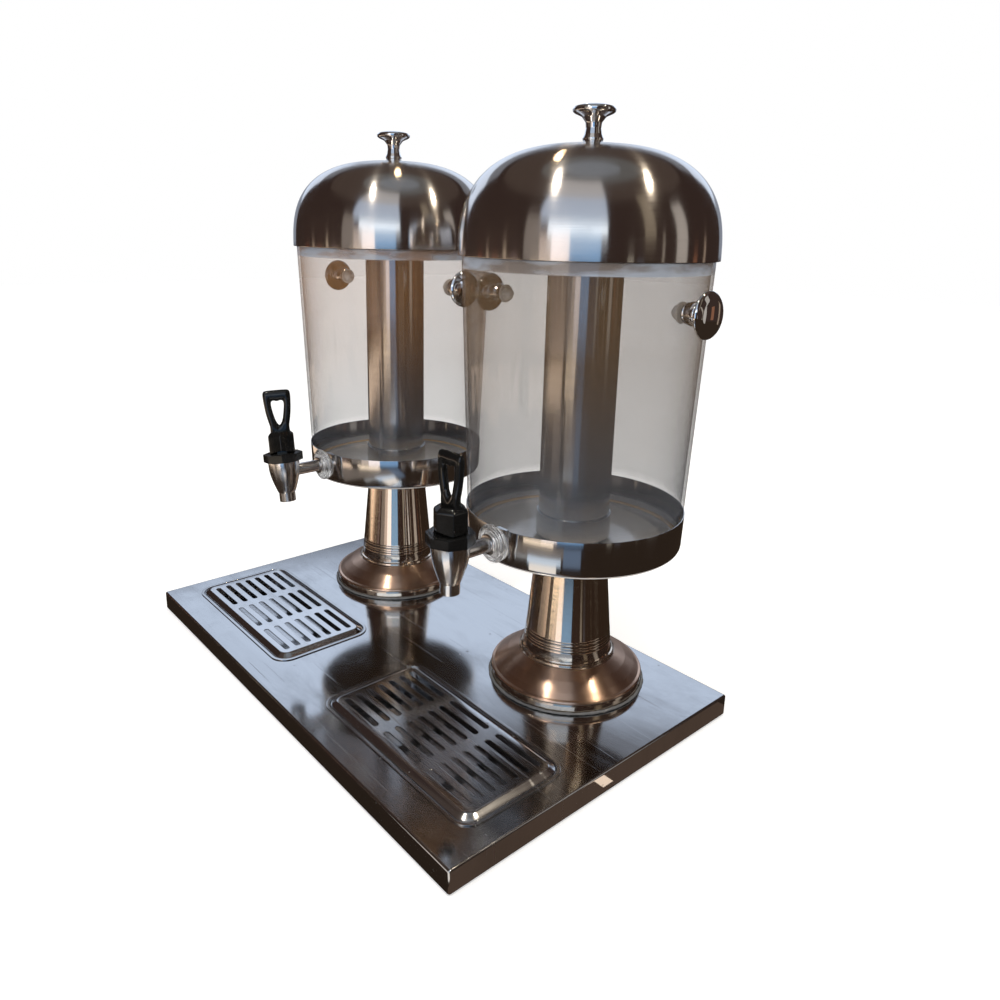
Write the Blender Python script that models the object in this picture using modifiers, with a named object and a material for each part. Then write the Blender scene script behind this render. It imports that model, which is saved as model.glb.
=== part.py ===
"""Double juice dispenser: two clear tanks under dome lids, on pedestals, on one base with drip trays.

Metres, +Z up, front towards -Y. The origin is under the middle of the whole object's box, on the surface
that the feet stand on. Every dispenser piece is made twice, as left_ and right_.
"""
import math

import bmesh
import bpy
from mathutils import Matrix

# General fits
GAP = 0.0003              # air left between pieces that touch
OVERRUN = 0.004           # how far every cutter runs past what it cuts
MERGE = 0.00001

# Facets round a full turn
SHELL_STEPS = 24          # tank, pan, lid and saddles, which nest in each other
STAND_STEPS = 18
TUBE_STEPS = 16
KNOB_STEPS = 12
BORE_STEPS = 12
PIN_STEPS = 8
LEVER_PIN_STEPS = 12
HALF_STEP = 0.5           # start that puts flats, not corners, at the front, back and sides
STEP_ASIDE = 0.25         # start that keeps a ring's corners off those of a hexagon

# Base
BASE_MARGIN = 0.132       # from a tank's axis to the end of the base
BASE_DEPTH = 0.350
BASE_TOP = 0.0225         # top of the sheet above the surface
BASE_SHEET = 0.0012
BASE_CORNER = 0.003
FOLD_RADIUS = 0.0024
FOOT_REVEAL = 0.002       # how far the rubber feet reach below the skirt
FOOT_RADIUS = 0.012       # of a rubber foot
FOOT_TAPER = 0.002
FOOT_INSET = 0.020        # from the skirt to a foot's axis

# Dispensers on the base
KNOB_CLEARANCE = 0.0315   # between the ends of the two inner side knobs
SETBACK = 0.082           # tank axes behind the base's middle

# Drip tray and grille
GRILLE_WIDTH = 0.2134
GRILLE_DEPTH = 0.1056
GRILLE_CORNER = 0.014
GRILLE_SHEET = 0.001
GRILLE_RISE = 0.0030      # panel above the border's edge
GRILLE_BORDER = 0.0055    # width of the sloping border
GRILLE_SHOULDER = 0.0016
GRILLE_CROWN = 0.0004
TRAY_AHEAD = 0.168        # tray's middle in front of the tank axes
TRAY_PLAY = 0.0005        # between grille and tray
TRAY_SHEET = 0.0007
TRAY_FLANGE = 0.0032
TRAY_STEP = 0.0020        # flange down to the ledge that carries the grille
TRAY_STEP_SLOPE = 0.0008
TRAY_LEDGE = 0.0032
TRAY_WALL_SLOPE = 0.0022
TRAY_DEPTH = 0.0110       # ledge to floor
TRAY_FLOOR_ROUND = 0.0022
TRAY_FLOOR_DROP = 0.0011
CUTOUT_PLAY = 0.0010
SLOT_GROUPS = 3
SLOTS_PER_GROUP = 7
SLOT_WIDTH = 0.0058
SLOT_ROUND_SHARE = 0.3    # of the width, taken by each corner of a slot
SLOT_GROUP_GAP = 0.0118   # between the ends of neighbouring groups
SLOT_END_MARGIN = 0.00605 # from the panel's ends to the slots
SLOT_SIDE_MARGIN = 0.005  # from the panel's sides to the slots

# Pedestal
PEDESTAL_FOOT_RADIUS = 0.077
PEDESTAL_BAND = 0.0122    # height of the upright band
PEDESTAL_LIP_RADIUS = 0.0758
PEDESTAL_LIP_STEP = 0.0014
FLARE_RADIUS = 0.0735
FLARE_TOP_RADIUS = 0.0475
CONE_FOOT_RADIUS = 0.0445
CONE_FOOT_HEIGHT = 0.0333 # above the base
CONE_STEP = 0.0016
CONE_TOP_RADIUS = 0.0338
PEDESTAL_WALL = 0.0012
BEAD_WIDTH = 0.0030
BEAD_HEIGHT = 0.0026

# Tie rod through pedestal, pan and tank floor
ROD_RADIUS = 0.004
ROD_HOLE_RADIUS = 0.005
ROD_TAIL = 0.003          # rod that shows below its nut
NUT_HEIGHT = 0.007
NUT_RADIUS = 0.0075
NUT_FLANGE_RADIUS = 0.0095
NUT_FLANGE = 0.0016

# Pan
PAN_BOTTOM = 0.173        # underside of the pan above the surface
PAN_HEIGHT = 0.035
PAN_RIM_RADIUS = 0.1065
PAN_WALL = 0.0009
PAN_CORNER = 0.005
SEAL_THICKNESS = 0.002
SEAL_RADIUS = 0.032

# Tank
TANK_TOP = 0.4415         # rim of the tank above the surface
TANK_SPREAD = 0.0087      # how much wider the tank is at its rim than in the pan's rim
TANK_WALL = 0.003
TANK_FLOOR = 0.004
TANK_CORNER = 0.004

# Ice tube and the boss it stands in
TUBE_RADIUS = 0.0345
TUBE_WALL = 0.0009
TUBE_ABOVE_TANK = 0.004
TUBE_BEAD = 0.0008
COLLAR_WALL = 0.0018
COLLAR_HEIGHT = 0.020
COLLAR_FLOOR = 0.008
COLLAR_BORE_DEPTH = 0.006

# Lid
LID_OVERHANG = 0.0036     # of the lid past the tank's rim
LID_CROWN = 0.096         # height of the dome above its rim
LID_WALL = 0.001
LID_POWER = 2.7           # roundness of the dome: 2 is an ellipse, more is squarer
LID_RING_PLAY = 0.001
LID_RING_DEPTH = 0.011
LID_STEPS = 5
LID_SCREW_RADIUS = 0.002
LID_SCREW_HEAD_RADIUS = 0.0045
LID_SCREW_HEAD = 0.0025
LID_SCREW_HEAD_END = 0.0036 # radius of the head's flat end
LID_SCREW_LENGTH = 0.008
LID_KNOB_RADIUS = 0.0188
LID_KNOB_HEIGHT = 0.0320
LID_KNOB_NECK_RADIUS = 0.0069
LID_KNOB_FOOT_RADIUS = 0.0094

# Side knobs
SIDE_KNOB_DROP = 0.0395   # from the tank's rim down to the axis
SIDE_KNOB_RADIUS = 0.0195
SIDE_KNOB_LENGTH = 0.0250
SIDE_BARREL_RADIUS = 0.0100
STUD_RADIUS = 0.003
STUD_LENGTH = 0.010
CAP_NUT_RADIUS = 0.0065
CAP_NUT_FLANGE_RADIUS = 0.009
CAP_NUT_FLANGE = 0.0015
CAP_NUT_LENGTH = 0.0095
CAP_NUT_END = 0.0046      # radius of the closed end

# Tap, measured from the mouth of its nozzle
TAP_REACH = 0.154         # tap axis in front of the tank axis
NOZZLE_Z = 0.158          # mouth above the surface
NOZZLE_RADIUS = 0.009
NOZZLE_BORE = 0.0062
NOZZLE_LENGTH = 0.011
NOZZLE_EDGE = 0.0008
BOWL_RADIUS = 0.0173
BOWL_TOP = 0.0465
BOWL_SHOULDER = 0.0035    # upright part at the top of the bowl
BOWL_STEPS = 4
NECK_RADIUS = 0.015
NECK_TOP = 0.055
SEAT_LOW = 0.017
SEAT_HIGH = 0.024
SEAT_HIGH_RADIUS = 0.010
CHAMBER_LOW = 0.030
CHAMBER_RADIUS = 0.0128
SHANK_HEIGHT = 0.034
SHANK_ROOT = 0.0008       # from the chamber to the root of the shank
SHANK_RADIUS = 0.00675
SHANK_BORE = 0.0045
SHANK_PLAY = 0.00035
SHANK_TAIL = 0.0025       # shank that shows past the lock nut
SHOULDER_RADIUS = 0.0098
SHOULDER_THICKNESS = 0.003
WASHER_RADIUS = 0.018
WASHER_STEP_RADIUS = 0.0142
WASHER_THICKNESS = 0.0022
WASHER_STEP = 0.0018
INNER_SEAL_RADIUS = 0.011
INNER_SEAL_THICKNESS = 0.0022
LOCK_NUT_RADIUS = 0.0128
LOCK_NUT_THICKNESS = 0.006

# Bonnet, lever and valve
BONNET_RADIUS = 0.022     # across the corners, halved
BONNET_LOW = 0.047
BONNET_HEIGHT = 0.0095
BONNET_CEILING = 0.0012
BONNET_BEVEL = 0.0008
TOWER_TOP = 0.0656
TOWER_HALF_WIDTH = 0.0055
TOWER_FRONT = 0.0093
TOWER_BACK = 0.006
PIN_AHEAD = 0.0063        # lever pin in front of the tap's axis
PIN_HEIGHT = 0.062
PIN_RADIUS = 0.0015
STEM_RADIUS = 0.003
STEM_HEAD_RADIUS = 0.0042
STEM_HEAD = 0.0024
SKIRT_RADIUS = 0.0158     # across the corners, halved
SKIRT_WALL = 0.0028       # between inner and outer corners
SKIRT_TOP = 0.077
SKIRT_CEILING = 0.0762
SHOULDER_INSET = 0.0042
SHOULDER_RISE = 0.0040
FORK_LOW = 0.0670
FORK_THICKNESS = 0.0026
FORK_SLOT_FRONT = 0.0035
FORK_KEY_BACK = 0.0078
FORK_KEY_RADIUS = 0.0046
FORK_PLAY = 0.0001         # either side of the stem, besides the gap
LEVER_TRAVEL = math.radians(25)
LEVER_SPARE = math.radians(1)
TOE_POCKET = 0.0023        # room in front of the tower for the tilted skirt
LOOP_TOP = 0.1275
LOOP_HALF_WIDTH = 0.0150
LOOP_FOOT_HALF_WIDTH = 0.0102
LOOP_BAR = 0.0086
LOOP_ARM = 0.0066
LOOP_CROTCH = 0.0860
LOOP_DEPTH = 0.0064
LOOP_ROUND = 0.0014
LOOP_CORNER = 0.0024
CUP_RADIUS = 0.0093
CUP_HEIGHT = 0.0135
CUP_SOCKET = 0.0068
CUP_NECK_WALL = 0.0028
CUP_RIM = 0.0017          # upright band at the cup's widest
CUP_TIP = 0.0013
CUP_CHAMFER = 0.0018
SEAT_CLEARANCE = 0.00045
TAP_TURN = {"left": math.radians(61), "right": math.radians(2)}
TAP_LEAN = {"left": math.radians(-8), "right": 0}     # of the tap about its shank
SIDES = {"left": -1, "right": 1}

# Worked out from the sizes above
FLAT = math.cos(math.pi / SHELL_STEPS)     # middle of a shell's facet over its corner
PAN_RIM = PAN_BOTTOM + PAN_HEIGHT
PAN_FLOOR_TOP = PAN_BOTTOM + PAN_WALL
SEAL_LOW = PAN_FLOOR_TOP + GAP
TANK_LOW = SEAL_LOW + SEAL_THICKNESS + GAP
TANK_FLOOR_TOP = TANK_LOW + TANK_FLOOR
TANK_RIM_RADIUS = PAN_RIM_RADIUS - PAN_WALL - GAP
TANK_TOP_RADIUS = TANK_RIM_RADIUS + TANK_SPREAD
LID_RADIUS = TANK_TOP_RADIUS + LID_OVERHANG
TAPER = (TANK_TOP_RADIUS - TANK_RIM_RADIUS) / (TANK_TOP - PAN_RIM)
COLLAR_LOW = TANK_FLOOR_TOP + GAP
COLLAR_RADIUS = TUBE_RADIUS + GAP + COLLAR_WALL
TUBE_LOW = COLLAR_LOW + COLLAR_FLOOR + GAP
TUBE_TOP = TANK_TOP + TUBE_ABOVE_TANK
LID_RIM = TANK_TOP + GAP
LID_TOP = LID_RIM + LID_CROWN
TRAY_TOP = BASE_TOP + GAP + TRAY_SHEET
LEDGE_TOP = TRAY_TOP - TRAY_STEP
TRAY_WIDTH = GRILLE_WIDTH + 2 * (TRAY_PLAY + TRAY_STEP_SLOPE + TRAY_FLANGE)
TRAY_LENGTH = GRILLE_DEPTH + 2 * (TRAY_PLAY + TRAY_STEP_SLOPE + TRAY_FLANGE)
TRAY_CORNER = GRILLE_CORNER + TRAY_PLAY + TRAY_STEP_SLOPE + TRAY_FLANGE
PANEL_WIDTH = GRILLE_WIDTH - 2 * (GRILLE_BORDER + GRILLE_SHOULDER)
PANEL_DEPTH = GRILLE_DEPTH - 2 * (GRILLE_BORDER + GRILLE_SHOULDER)
SLOTS_WIDTH = PANEL_WIDTH - 2 * SLOT_END_MARGIN
SLOT_LENGTH = (SLOTS_WIDTH - (SLOT_GROUPS - 1) * SLOT_GROUP_GAP) / SLOT_GROUPS
SLOT_GROUP_PITCH = SLOT_LENGTH + SLOT_GROUP_GAP
SLOT_PITCH = (PANEL_DEPTH - 2 * SLOT_SIDE_MARGIN - SLOT_WIDTH) / (SLOTS_PER_GROUP - 1)
SHANK_Z = NOZZLE_Z + SHANK_HEIGHT
SIDE_KNOB_Z = TANK_TOP - SIDE_KNOB_DROP
TANK_REAR = SETBACK + LID_RADIUS * FLAT
BASE_Y = -(max(TANK_REAR, BASE_DEPTH / 2) - BASE_DEPTH / 2) / 2
TANK_Y = BASE_Y + SETBACK
TRAY_Y = TANK_Y - TRAY_AHEAD


def tank_radius(z):
    """Outer radius of the tapered tank at height z."""
    return TANK_TOP_RADIUS - TAPER * (TANK_TOP - z)


SIDE_KNOB_SEAT = tank_radius(SIDE_KNOB_Z + SIDE_BARREL_RADIUS) * FLAT + GAP
SPACING = 2 * (SIDE_KNOB_SEAT + SIDE_KNOB_LENGTH) + KNOB_CLEARANCE
BASE_WIDTH = SPACING + 2 * BASE_MARGIN


def pan_radius(z):
    """Outer radius of the pan's wall, which follows the tank's taper."""
    return tank_radius(z) + GAP + PAN_WALL


def bore(radius, steps):
    """Corner radius of a faceted bore whose flats stay clear of what has this radius."""
    return (radius + GAP) / math.cos(math.pi / steps)


def clear_scene():
    for old in list(bpy.data.objects):
        bpy.data.objects.remove(old)


def new_collection(name):
    collection = bpy.data.collections.new(name)
    bpy.context.scene.collection.children.link(collection)
    return collection


def finish(name, colour, roughness, metallic=0.0, alpha=1.0):
    """Principled material of one piece."""
    material = bpy.data.materials.new(name + "_finish")
    material.use_nodes = True
    shader = material.node_tree.nodes["Principled BSDF"]
    shader.inputs["Base Color"].default_value = (*colour, 1.0)
    shader.inputs["Roughness"].default_value = roughness
    shader.inputs["Metallic"].default_value = metallic
    shader.inputs["Alpha"].default_value = alpha
    return material


CHROME = ((0.80, 0.80, 0.81), 0.06, 1.0)
POLISHED_STEEL = ((0.70, 0.69, 0.68), 0.14, 1.0)
BRUSHED_STEEL = ((0.62, 0.61, 0.60), 0.30, 1.0)
ZINC_STEEL = ((0.50, 0.50, 0.50), 0.40, 1.0)
CLEAR_PLASTIC = ((0.86, 0.84, 0.82), 0.05, 0.0, 0.25)
CLEAR_SILICONE = ((0.80, 0.80, 0.80), 0.35, 0.0, 0.55)
WHITE_SILICONE = ((0.88, 0.88, 0.86), 0.50)
BLACK_PLASTIC = ((0.012, 0.012, 0.013), 0.18)
BLACK_RUBBER = ((0.02, 0.02, 0.02), 0.75)
GREY_SEALANT = ((0.55, 0.55, 0.54), 0.45)


def place(piece, parent, location=(0, 0, 0), rotation=(0, 0, 0)):
    piece.parent = parent
    piece.location = location
    piece.rotation_euler = rotation
    return piece


def add_piece(name, mesh, look, parent, location=(0, 0, 0), rotation=(0, 0, 0)):
    """A finished piece of the object: one named object with its own material."""
    piece = bpy.data.objects.new(name, mesh)
    parts.objects.link(piece)
    piece.data.materials.append(finish(name, *look))
    return place(piece, parent, location, rotation)


def add_cutter(name, mesh, parent, location=(0, 0, 0), rotation=(0, 0, 0)):
    tool = bpy.data.objects.new(name, mesh)
    cutters.objects.link(tool)
    tool.display_type = "WIRE"
    tool.hide_render = True
    return place(tool, parent, location, rotation)


def add_empty(name, location, turn=0.0, parent=None, lean=0.0):
    empty = bpy.data.objects.new(name, None)
    cutters.objects.link(empty)
    return place(empty, parent, location, (0, lean, turn))


def cut(piece, tool, operation="DIFFERENCE"):
    modifier = piece.modifiers.new(tool.name, "BOOLEAN")
    modifier.operation = operation
    modifier.object = tool


def join_to(piece, tool):
    cut(piece, tool, "UNION")


def line_mesh(name, outline, closed, angle):
    """Points (radius, height) joined in order, in the upright plane at an angle."""
    count = len(outline)
    edges = [(i, i + 1) for i in range(count - 1)]
    if closed:
        edges.append((count - 1, 0))
    points = [(radius * math.cos(angle), radius * math.sin(angle), height) for radius, height in outline]
    mesh = bpy.data.meshes.new(name)
    mesh.from_pydata(points, edges, [])
    return mesh


def spin(piece, steps):
    """Turns the profile about the piece's Z and welds its poles."""
    screw = piece.modifiers.new("turn", "SCREW")
    screw.steps = steps
    screw.render_steps = steps
    screw.use_merge_vertices = True
    screw.merge_threshold = MERGE
    screw.use_smooth_shade = True
    weld = piece.modifiers.new("poles", "WELD")
    weld.merge_threshold = MERGE
    return piece


def turned(name, outline, steps, look, parent, closed=False, start=0, **where):
    """A turned piece, started a share of a step round. The outline runs down the outer side."""
    profile = line_mesh(name, outline, closed, start * 2 * math.pi / steps)
    return spin(add_piece(name, profile, look, parent, **where), steps)


def turned_cutter(name, outline, steps, parent, start=HALF_STEP, **where):
    profile = line_mesh(name, outline, False, start * 2 * math.pi / steps)
    return spin(add_cutter(name, profile, parent, **where), steps)


def thicken(piece, thickness):
    """Gives an open skin its wall, on the inner side."""
    solidify = piece.modifiers.new("wall", "SOLIDIFY")
    solidify.thickness = thickness
    solidify.offset = -1
    solidify.use_even_offset = True


def round_edges(piece, width, segments=1):
    bevel = piece.modifiers.new("edges", "BEVEL")
    bevel.width = width
    bevel.segments = segments
    bevel.limit_method = "ANGLE"


def rod_outline(radius, low, high):
    return [(0, high), (radius, high), (radius, low), (0, low)]


def ring_outline(inner, outer, low, high):
    return [(outer, high), (outer, low), (inner, low), (inner, high)]


def rounded_face(shape, width, depth, radius, segments, height=0.0):
    """Adds one flat face with rounded corners to a bmesh and returns it."""
    old = set(shape.faces)
    made = bmesh.ops.create_grid(shape, x_segments=1, y_segments=1, size=1)
    for corner in made["verts"]:
        corner.co = (math.copysign(width / 2, corner.co.x), math.copysign(depth / 2, corner.co.y), height)
    bmesh.ops.bevel(shape, geom=made["verts"], offset=radius, segments=segments, profile=0.5,
                    affect="VERTICES")
    face = next(face for face in shape.faces if face not in old)
    if face.normal.z < 0:
        face.normal_flip()
    return face


def raise_prism(shape, face, height):
    """Closes a flat face into a prism that rises by height."""
    lid = bmesh.ops.extrude_face_region(shape, geom=[face])["geom"]
    top = [item for item in lid if isinstance(item, bmesh.types.BMVert)]
    bmesh.ops.translate(shape, verts=top, vec=(0, 0, height))
    if face.is_valid:
        face.normal_flip()


def to_mesh(shape, name, recalc=True):
    if recalc:
        bmesh.ops.recalc_face_normals(shape, faces=shape.faces)
    mesh = bpy.data.meshes.new(name)
    shape.to_mesh(mesh)
    shape.free()
    return mesh


def rounded_prism(name, width, depth, radius, low, high, segments=2):
    shape = bmesh.new()
    face = rounded_face(shape, width, depth, radius, segments, low)
    raise_prism(shape, face, high - low)
    return to_mesh(shape, name)


def box_mesh(name, low, high):
    """Box between two corners."""
    shape = bmesh.new()
    cube = bmesh.ops.create_cube(shape, size=1)
    for vertex in cube["verts"]:
        vertex.co = [low[i] + (vertex.co[i] + 0.5) * (high[i] - low[i]) for i in range(3)]
    return to_mesh(shape, name)


def add_prism(shape, sides, radius, low, high, start=0):
    """Adds an upright prism, with corners towards +Y and -Y unless started a share of a side round."""
    made = bmesh.ops.create_cone(shape, cap_ends=True, segments=sides, radius1=radius, radius2=radius,
                                 depth=high - low)
    bmesh.ops.rotate(shape, verts=made["verts"], matrix=Matrix.Rotation(start * 2 * math.pi / sides, 3, "Z"))
    bmesh.ops.translate(shape, verts=made["verts"], vec=(0, 0, (low + high) / 2))


def prism_mesh(name, sides, radius, low, high, start=0):
    shape = bmesh.new()
    add_prism(shape, sides, radius, low, high, start)
    return to_mesh(shape, name)


def stepped_skin(name, width, depth, corner, top, steps):
    """Open pressed sheet: insets of a rounded rectangle, each (inset, drop)."""
    shape = bmesh.new()
    face = rounded_face(shape, width, depth, corner, 2, top)
    for inset, drop in steps:
        bmesh.ops.inset_region(shape, faces=[face], thickness=inset, depth=-drop, use_boundary=True,
                               use_even_offset=True)
    return to_mesh(shape, name, recalc=False)


def make_base():
    """Folded sheet with a skirt, open below, with cut-outs for the trays."""
    shape = bmesh.new()
    rounded_face(shape, BASE_WIDTH, BASE_DEPTH, BASE_CORNER, 2, BASE_TOP)
    rim = [edge for edge in shape.edges if edge.is_boundary]
    skirt = bmesh.ops.extrude_edge_only(shape, edges=rim)["geom"]
    low = [item for item in skirt if isinstance(item, bmesh.types.BMVert)]
    bmesh.ops.translate(shape, verts=low, vec=(0, 0, FOOT_REVEAL - BASE_TOP))
    bmesh.ops.bevel(shape, geom=rim, offset=FOLD_RADIUS, segments=2, profile=0.5, affect="EDGES")
    base = add_piece("base_plate", to_mesh(shape, "base_plate"), BRUSHED_STEEL, None, (0, BASE_Y, 0))
    thicken(base, BASE_SHEET)
    for side, sign in SIDES.items():
        opening_width = TRAY_WIDTH - 2 * (TRAY_FLANGE - TRAY_SHEET - CUTOUT_PLAY)
        opening_length = TRAY_LENGTH - 2 * (TRAY_FLANGE - TRAY_SHEET - CUTOUT_PLAY)
        opening_corner = TRAY_CORNER - TRAY_FLANGE + TRAY_SHEET + CUTOUT_PLAY
        opening = rounded_prism(side + "_tray_opening", opening_width, opening_length, opening_corner,
                                BASE_TOP - BASE_SHEET - OVERRUN, BASE_TOP + OVERRUN)
        cut(base, add_cutter(side + "_tray_opening", opening, None, (sign * SPACING / 2, TRAY_Y, 0)))
        hole = rod_outline(ROD_HOLE_RADIUS, BASE_TOP - BASE_SHEET - OVERRUN, BASE_TOP + OVERRUN)
        cut(base, turned_cutter(side + "_base_rod_hole", hole, BORE_STEPS, None,
                                location=(sign * SPACING / 2, TANK_Y, 0)))


def make_feet():
    """Rubber feet glued under the sheet, inside the skirt's corners."""
    top = BASE_TOP - BASE_SHEET - GAP
    outline = [(0, top), (FOOT_RADIUS, top), (FOOT_RADIUS - FOOT_TAPER, 0), (0, 0)]
    for depth_name, depth_sign in (("front", -1), ("back", 1)):
        for side, sign in SIDES.items():
            spot = (sign * (BASE_WIDTH / 2 - FOOT_INSET),
                    BASE_Y + depth_sign * (BASE_DEPTH / 2 - FOOT_INSET), 0)
            name = "foot_{}_{}".format(depth_name, side)
            turned(name, outline, PIN_STEPS, BLACK_RUBBER, None, location=spot)


def make_drip_tray(side, x):
    """Pressed tray that hangs in the base by its flange, with a ledge for the grille."""
    steps = [(TRAY_FLANGE, 0), (TRAY_STEP_SLOPE, TRAY_STEP), (TRAY_LEDGE, 0), (TRAY_WALL_SLOPE, TRAY_DEPTH),
             (TRAY_FLOOR_ROUND, TRAY_FLOOR_DROP)]
    skin = stepped_skin(side + "_drip_tray", TRAY_WIDTH, TRAY_LENGTH, TRAY_CORNER, TRAY_TOP, steps)
    tray = add_piece(side + "_drip_tray", skin, POLISHED_STEEL, None, (x, TRAY_Y, 0))
    thicken(tray, TRAY_SHEET)


def make_drip_grille(side, x):
    """Raised plate with a sloping border and three groups of slots."""
    edge = LEDGE_TOP + GAP + GRILLE_SHEET
    steps = [(GRILLE_BORDER, -GRILLE_RISE), (GRILLE_SHOULDER, -GRILLE_CROWN)]
    name = side + "_drip_grille"
    skin = stepped_skin(name, GRILLE_WIDTH, GRILLE_DEPTH, GRILLE_CORNER, edge, steps)
    grille = add_piece(name, skin, POLISHED_STEEL, None, (x, TRAY_Y, 0))
    thicken(grille, GRILLE_SHEET)
    slots = bmesh.new()
    top = edge + GRILLE_RISE
    for group in range(SLOT_GROUPS):
        for slot in range(SLOTS_PER_GROUP):
            across = (group - (SLOT_GROUPS - 1) / 2) * SLOT_GROUP_PITCH
            along = (slot - (SLOTS_PER_GROUP - 1) / 2) * SLOT_PITCH
            old = set(slots.verts)
            face = rounded_face(slots, SLOT_LENGTH, SLOT_WIDTH, SLOT_WIDTH * SLOT_ROUND_SHARE, 1, top - OVERRUN)
            raise_prism(slots, face, 2 * OVERRUN)
            fresh = [vertex for vertex in slots.verts if vertex not in old]
            bmesh.ops.translate(slots, verts=fresh, vec=(across, along, 0))
    cut(grille, add_cutter(side + "_slots", to_mesh(slots, "slots"), None, (x, TRAY_Y, 0)))


def make_pedestal(side, axis):
    """Spun stand: cone, flared foot with a lip, upright band."""
    low = BASE_TOP + GAP
    top = PAN_BOTTOM - GAP
    band_top = low + PEDESTAL_BAND
    cone_foot = low + CONE_FOOT_HEIGHT
    flare_top = cone_foot - CONE_STEP
    outline = [
        (ROD_HOLE_RADIUS, top),
        (CONE_TOP_RADIUS, top),
        (CONE_FOOT_RADIUS, cone_foot),
        (FLARE_TOP_RADIUS, flare_top),
    ]
    flare_shares = ((0.46, 0.38),)
    for out_share, down_share in flare_shares:
        radius = FLARE_TOP_RADIUS + out_share * (FLARE_RADIUS - FLARE_TOP_RADIUS)
        outline.append((radius, flare_top - down_share * (flare_top - band_top)))
    outline += [
        (FLARE_RADIUS, band_top),
        (PEDESTAL_LIP_RADIUS, band_top),
        (PEDESTAL_FOOT_RADIUS, band_top - PEDESTAL_LIP_STEP),
        (PEDESTAL_FOOT_RADIUS, low),
    ]
    pedestal = turned(side + "_pedestal", outline, STAND_STEPS, POLISHED_STEEL, axis)
    thicken(pedestal, PEDESTAL_WALL)
    inner = PEDESTAL_FOOT_RADIUS + GAP
    bead = [(inner, low + BEAD_HEIGHT), (inner + BEAD_WIDTH, low), (inner, low)]
    turned(side + "_foot_bead", bead, STAND_STEPS, GREY_SEALANT, axis, closed=True)


def make_tie(side, axis):
    """Rod that clamps base, pedestal, pan and tank floor, with its nut under the base."""
    nut_top = BASE_TOP - BASE_SHEET - GAP
    nut_low = nut_top - NUT_HEIGHT
    rod_top = COLLAR_LOW + COLLAR_BORE_DEPTH - GAP
    rod = rod_outline(ROD_RADIUS, nut_low - ROD_TAIL, rod_top)
    turned(side + "_tie_rod", rod, PIN_STEPS, ZINC_STEEL, axis)
    hexagon = prism_mesh(side + "_tie_nut", 6, NUT_RADIUS, nut_low, nut_top - NUT_FLANGE / 2)
    nut = add_piece(side + "_tie_nut", hexagon, ZINC_STEEL, axis)
    flange = rod_outline(NUT_FLANGE_RADIUS, nut_top - NUT_FLANGE, nut_top)
    join_to(nut, turned_cutter(side + "_nut_flange", flange, BORE_STEPS, axis, STEP_ASIDE))
    hole = rod_outline(bore(ROD_RADIUS, PIN_STEPS), nut_low - OVERRUN, nut_top + OVERRUN)
    cut(nut, turned_cutter(side + "_nut_bore", hole, PIN_STEPS, axis, start=0))


def shank_cutter(name, tap, radius, low, high, start=HALF_STEP):
    """Cylinder along the tap's shank, from low to high behind the tap's axis."""
    return turned_cutter(name, rod_outline(radius, low, high), BORE_STEPS, tap, start,
                         location=(0, 0, SHANK_HEIGHT), rotation=(-math.pi / 2, 0, 0))


def make_pan(side, axis, tap):
    """Shallow cup that holds the tank's foot."""
    wall_foot = pan_radius(PAN_BOTTOM + PAN_CORNER)
    outline = [(pan_radius(PAN_RIM), PAN_RIM), (wall_foot, PAN_BOTTOM + PAN_CORNER)]
    for turn_share in (1 / 2, 1):
        turn = turn_share * math.pi / 2
        outline.append((wall_foot - PAN_CORNER * (1 - math.cos(turn)),
                        PAN_BOTTOM + PAN_CORNER * (1 - math.sin(turn))))
    outline.append((ROD_HOLE_RADIUS, PAN_BOTTOM))
    pan = turned(side + "_pan", outline, SHELL_STEPS, BRUSHED_STEEL, axis, start=HALF_STEP)
    thicken(pan, PAN_WALL)
    reach = TAP_REACH - pan_radius(SHANK_Z) * FLAT
    hole = SHANK_RADIUS + SHANK_PLAY
    cut(pan, shank_cutter(side + "_pan_tap_hole", tap, hole, reach - OVERRUN, reach + OVERRUN))
    seal = ring_outline(ROD_HOLE_RADIUS, SEAL_RADIUS, SEAL_LOW, SEAL_LOW + SEAL_THICKNESS)
    turned(side + "_pan_seal", seal, BORE_STEPS, WHITE_SILICONE, axis, closed=True)


def make_tank(side, axis, tap):
    """Clear tapered tank with a floor, and holes for the tap and the side knobs."""
    outline = [
        (tank_radius(TANK_TOP), TANK_TOP),
        (tank_radius(TANK_LOW + TANK_CORNER), TANK_LOW + TANK_CORNER),
        (tank_radius(TANK_LOW) - TANK_CORNER, TANK_LOW),
        (ROD_HOLE_RADIUS, TANK_LOW),
        (ROD_HOLE_RADIUS, TANK_FLOOR_TOP),
        (tank_radius(TANK_FLOOR_TOP) - TANK_WALL, TANK_FLOOR_TOP),
        (tank_radius(TANK_TOP) - TANK_WALL, TANK_TOP),
    ]
    tank = turned(side + "_tank", outline, SHELL_STEPS, CLEAR_PLASTIC, axis, True, HALF_STEP)
    reach = TAP_REACH - tank_radius(SHANK_Z) * FLAT
    hole = SHANK_RADIUS + SHANK_PLAY
    cut(tank, shank_cutter(side + "_tank_tap_hole", tap, hole, reach - OVERRUN, reach + TANK_WALL + OVERRUN))
    wall = tank_radius(SIDE_KNOB_Z) * FLAT
    for way, sign in (("a", -1), ("b", 1)):
        hole = rod_outline(bore(STUD_RADIUS, PIN_STEPS), wall - TANK_WALL - OVERRUN, wall + OVERRUN)
        cut(tank, turned_cutter("{}_stud_hole_{}".format(side, way), hole, PIN_STEPS, axis,
                                location=(0, 0, SIDE_KNOB_Z), rotation=(0, sign * math.pi / 2, 0)))


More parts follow.
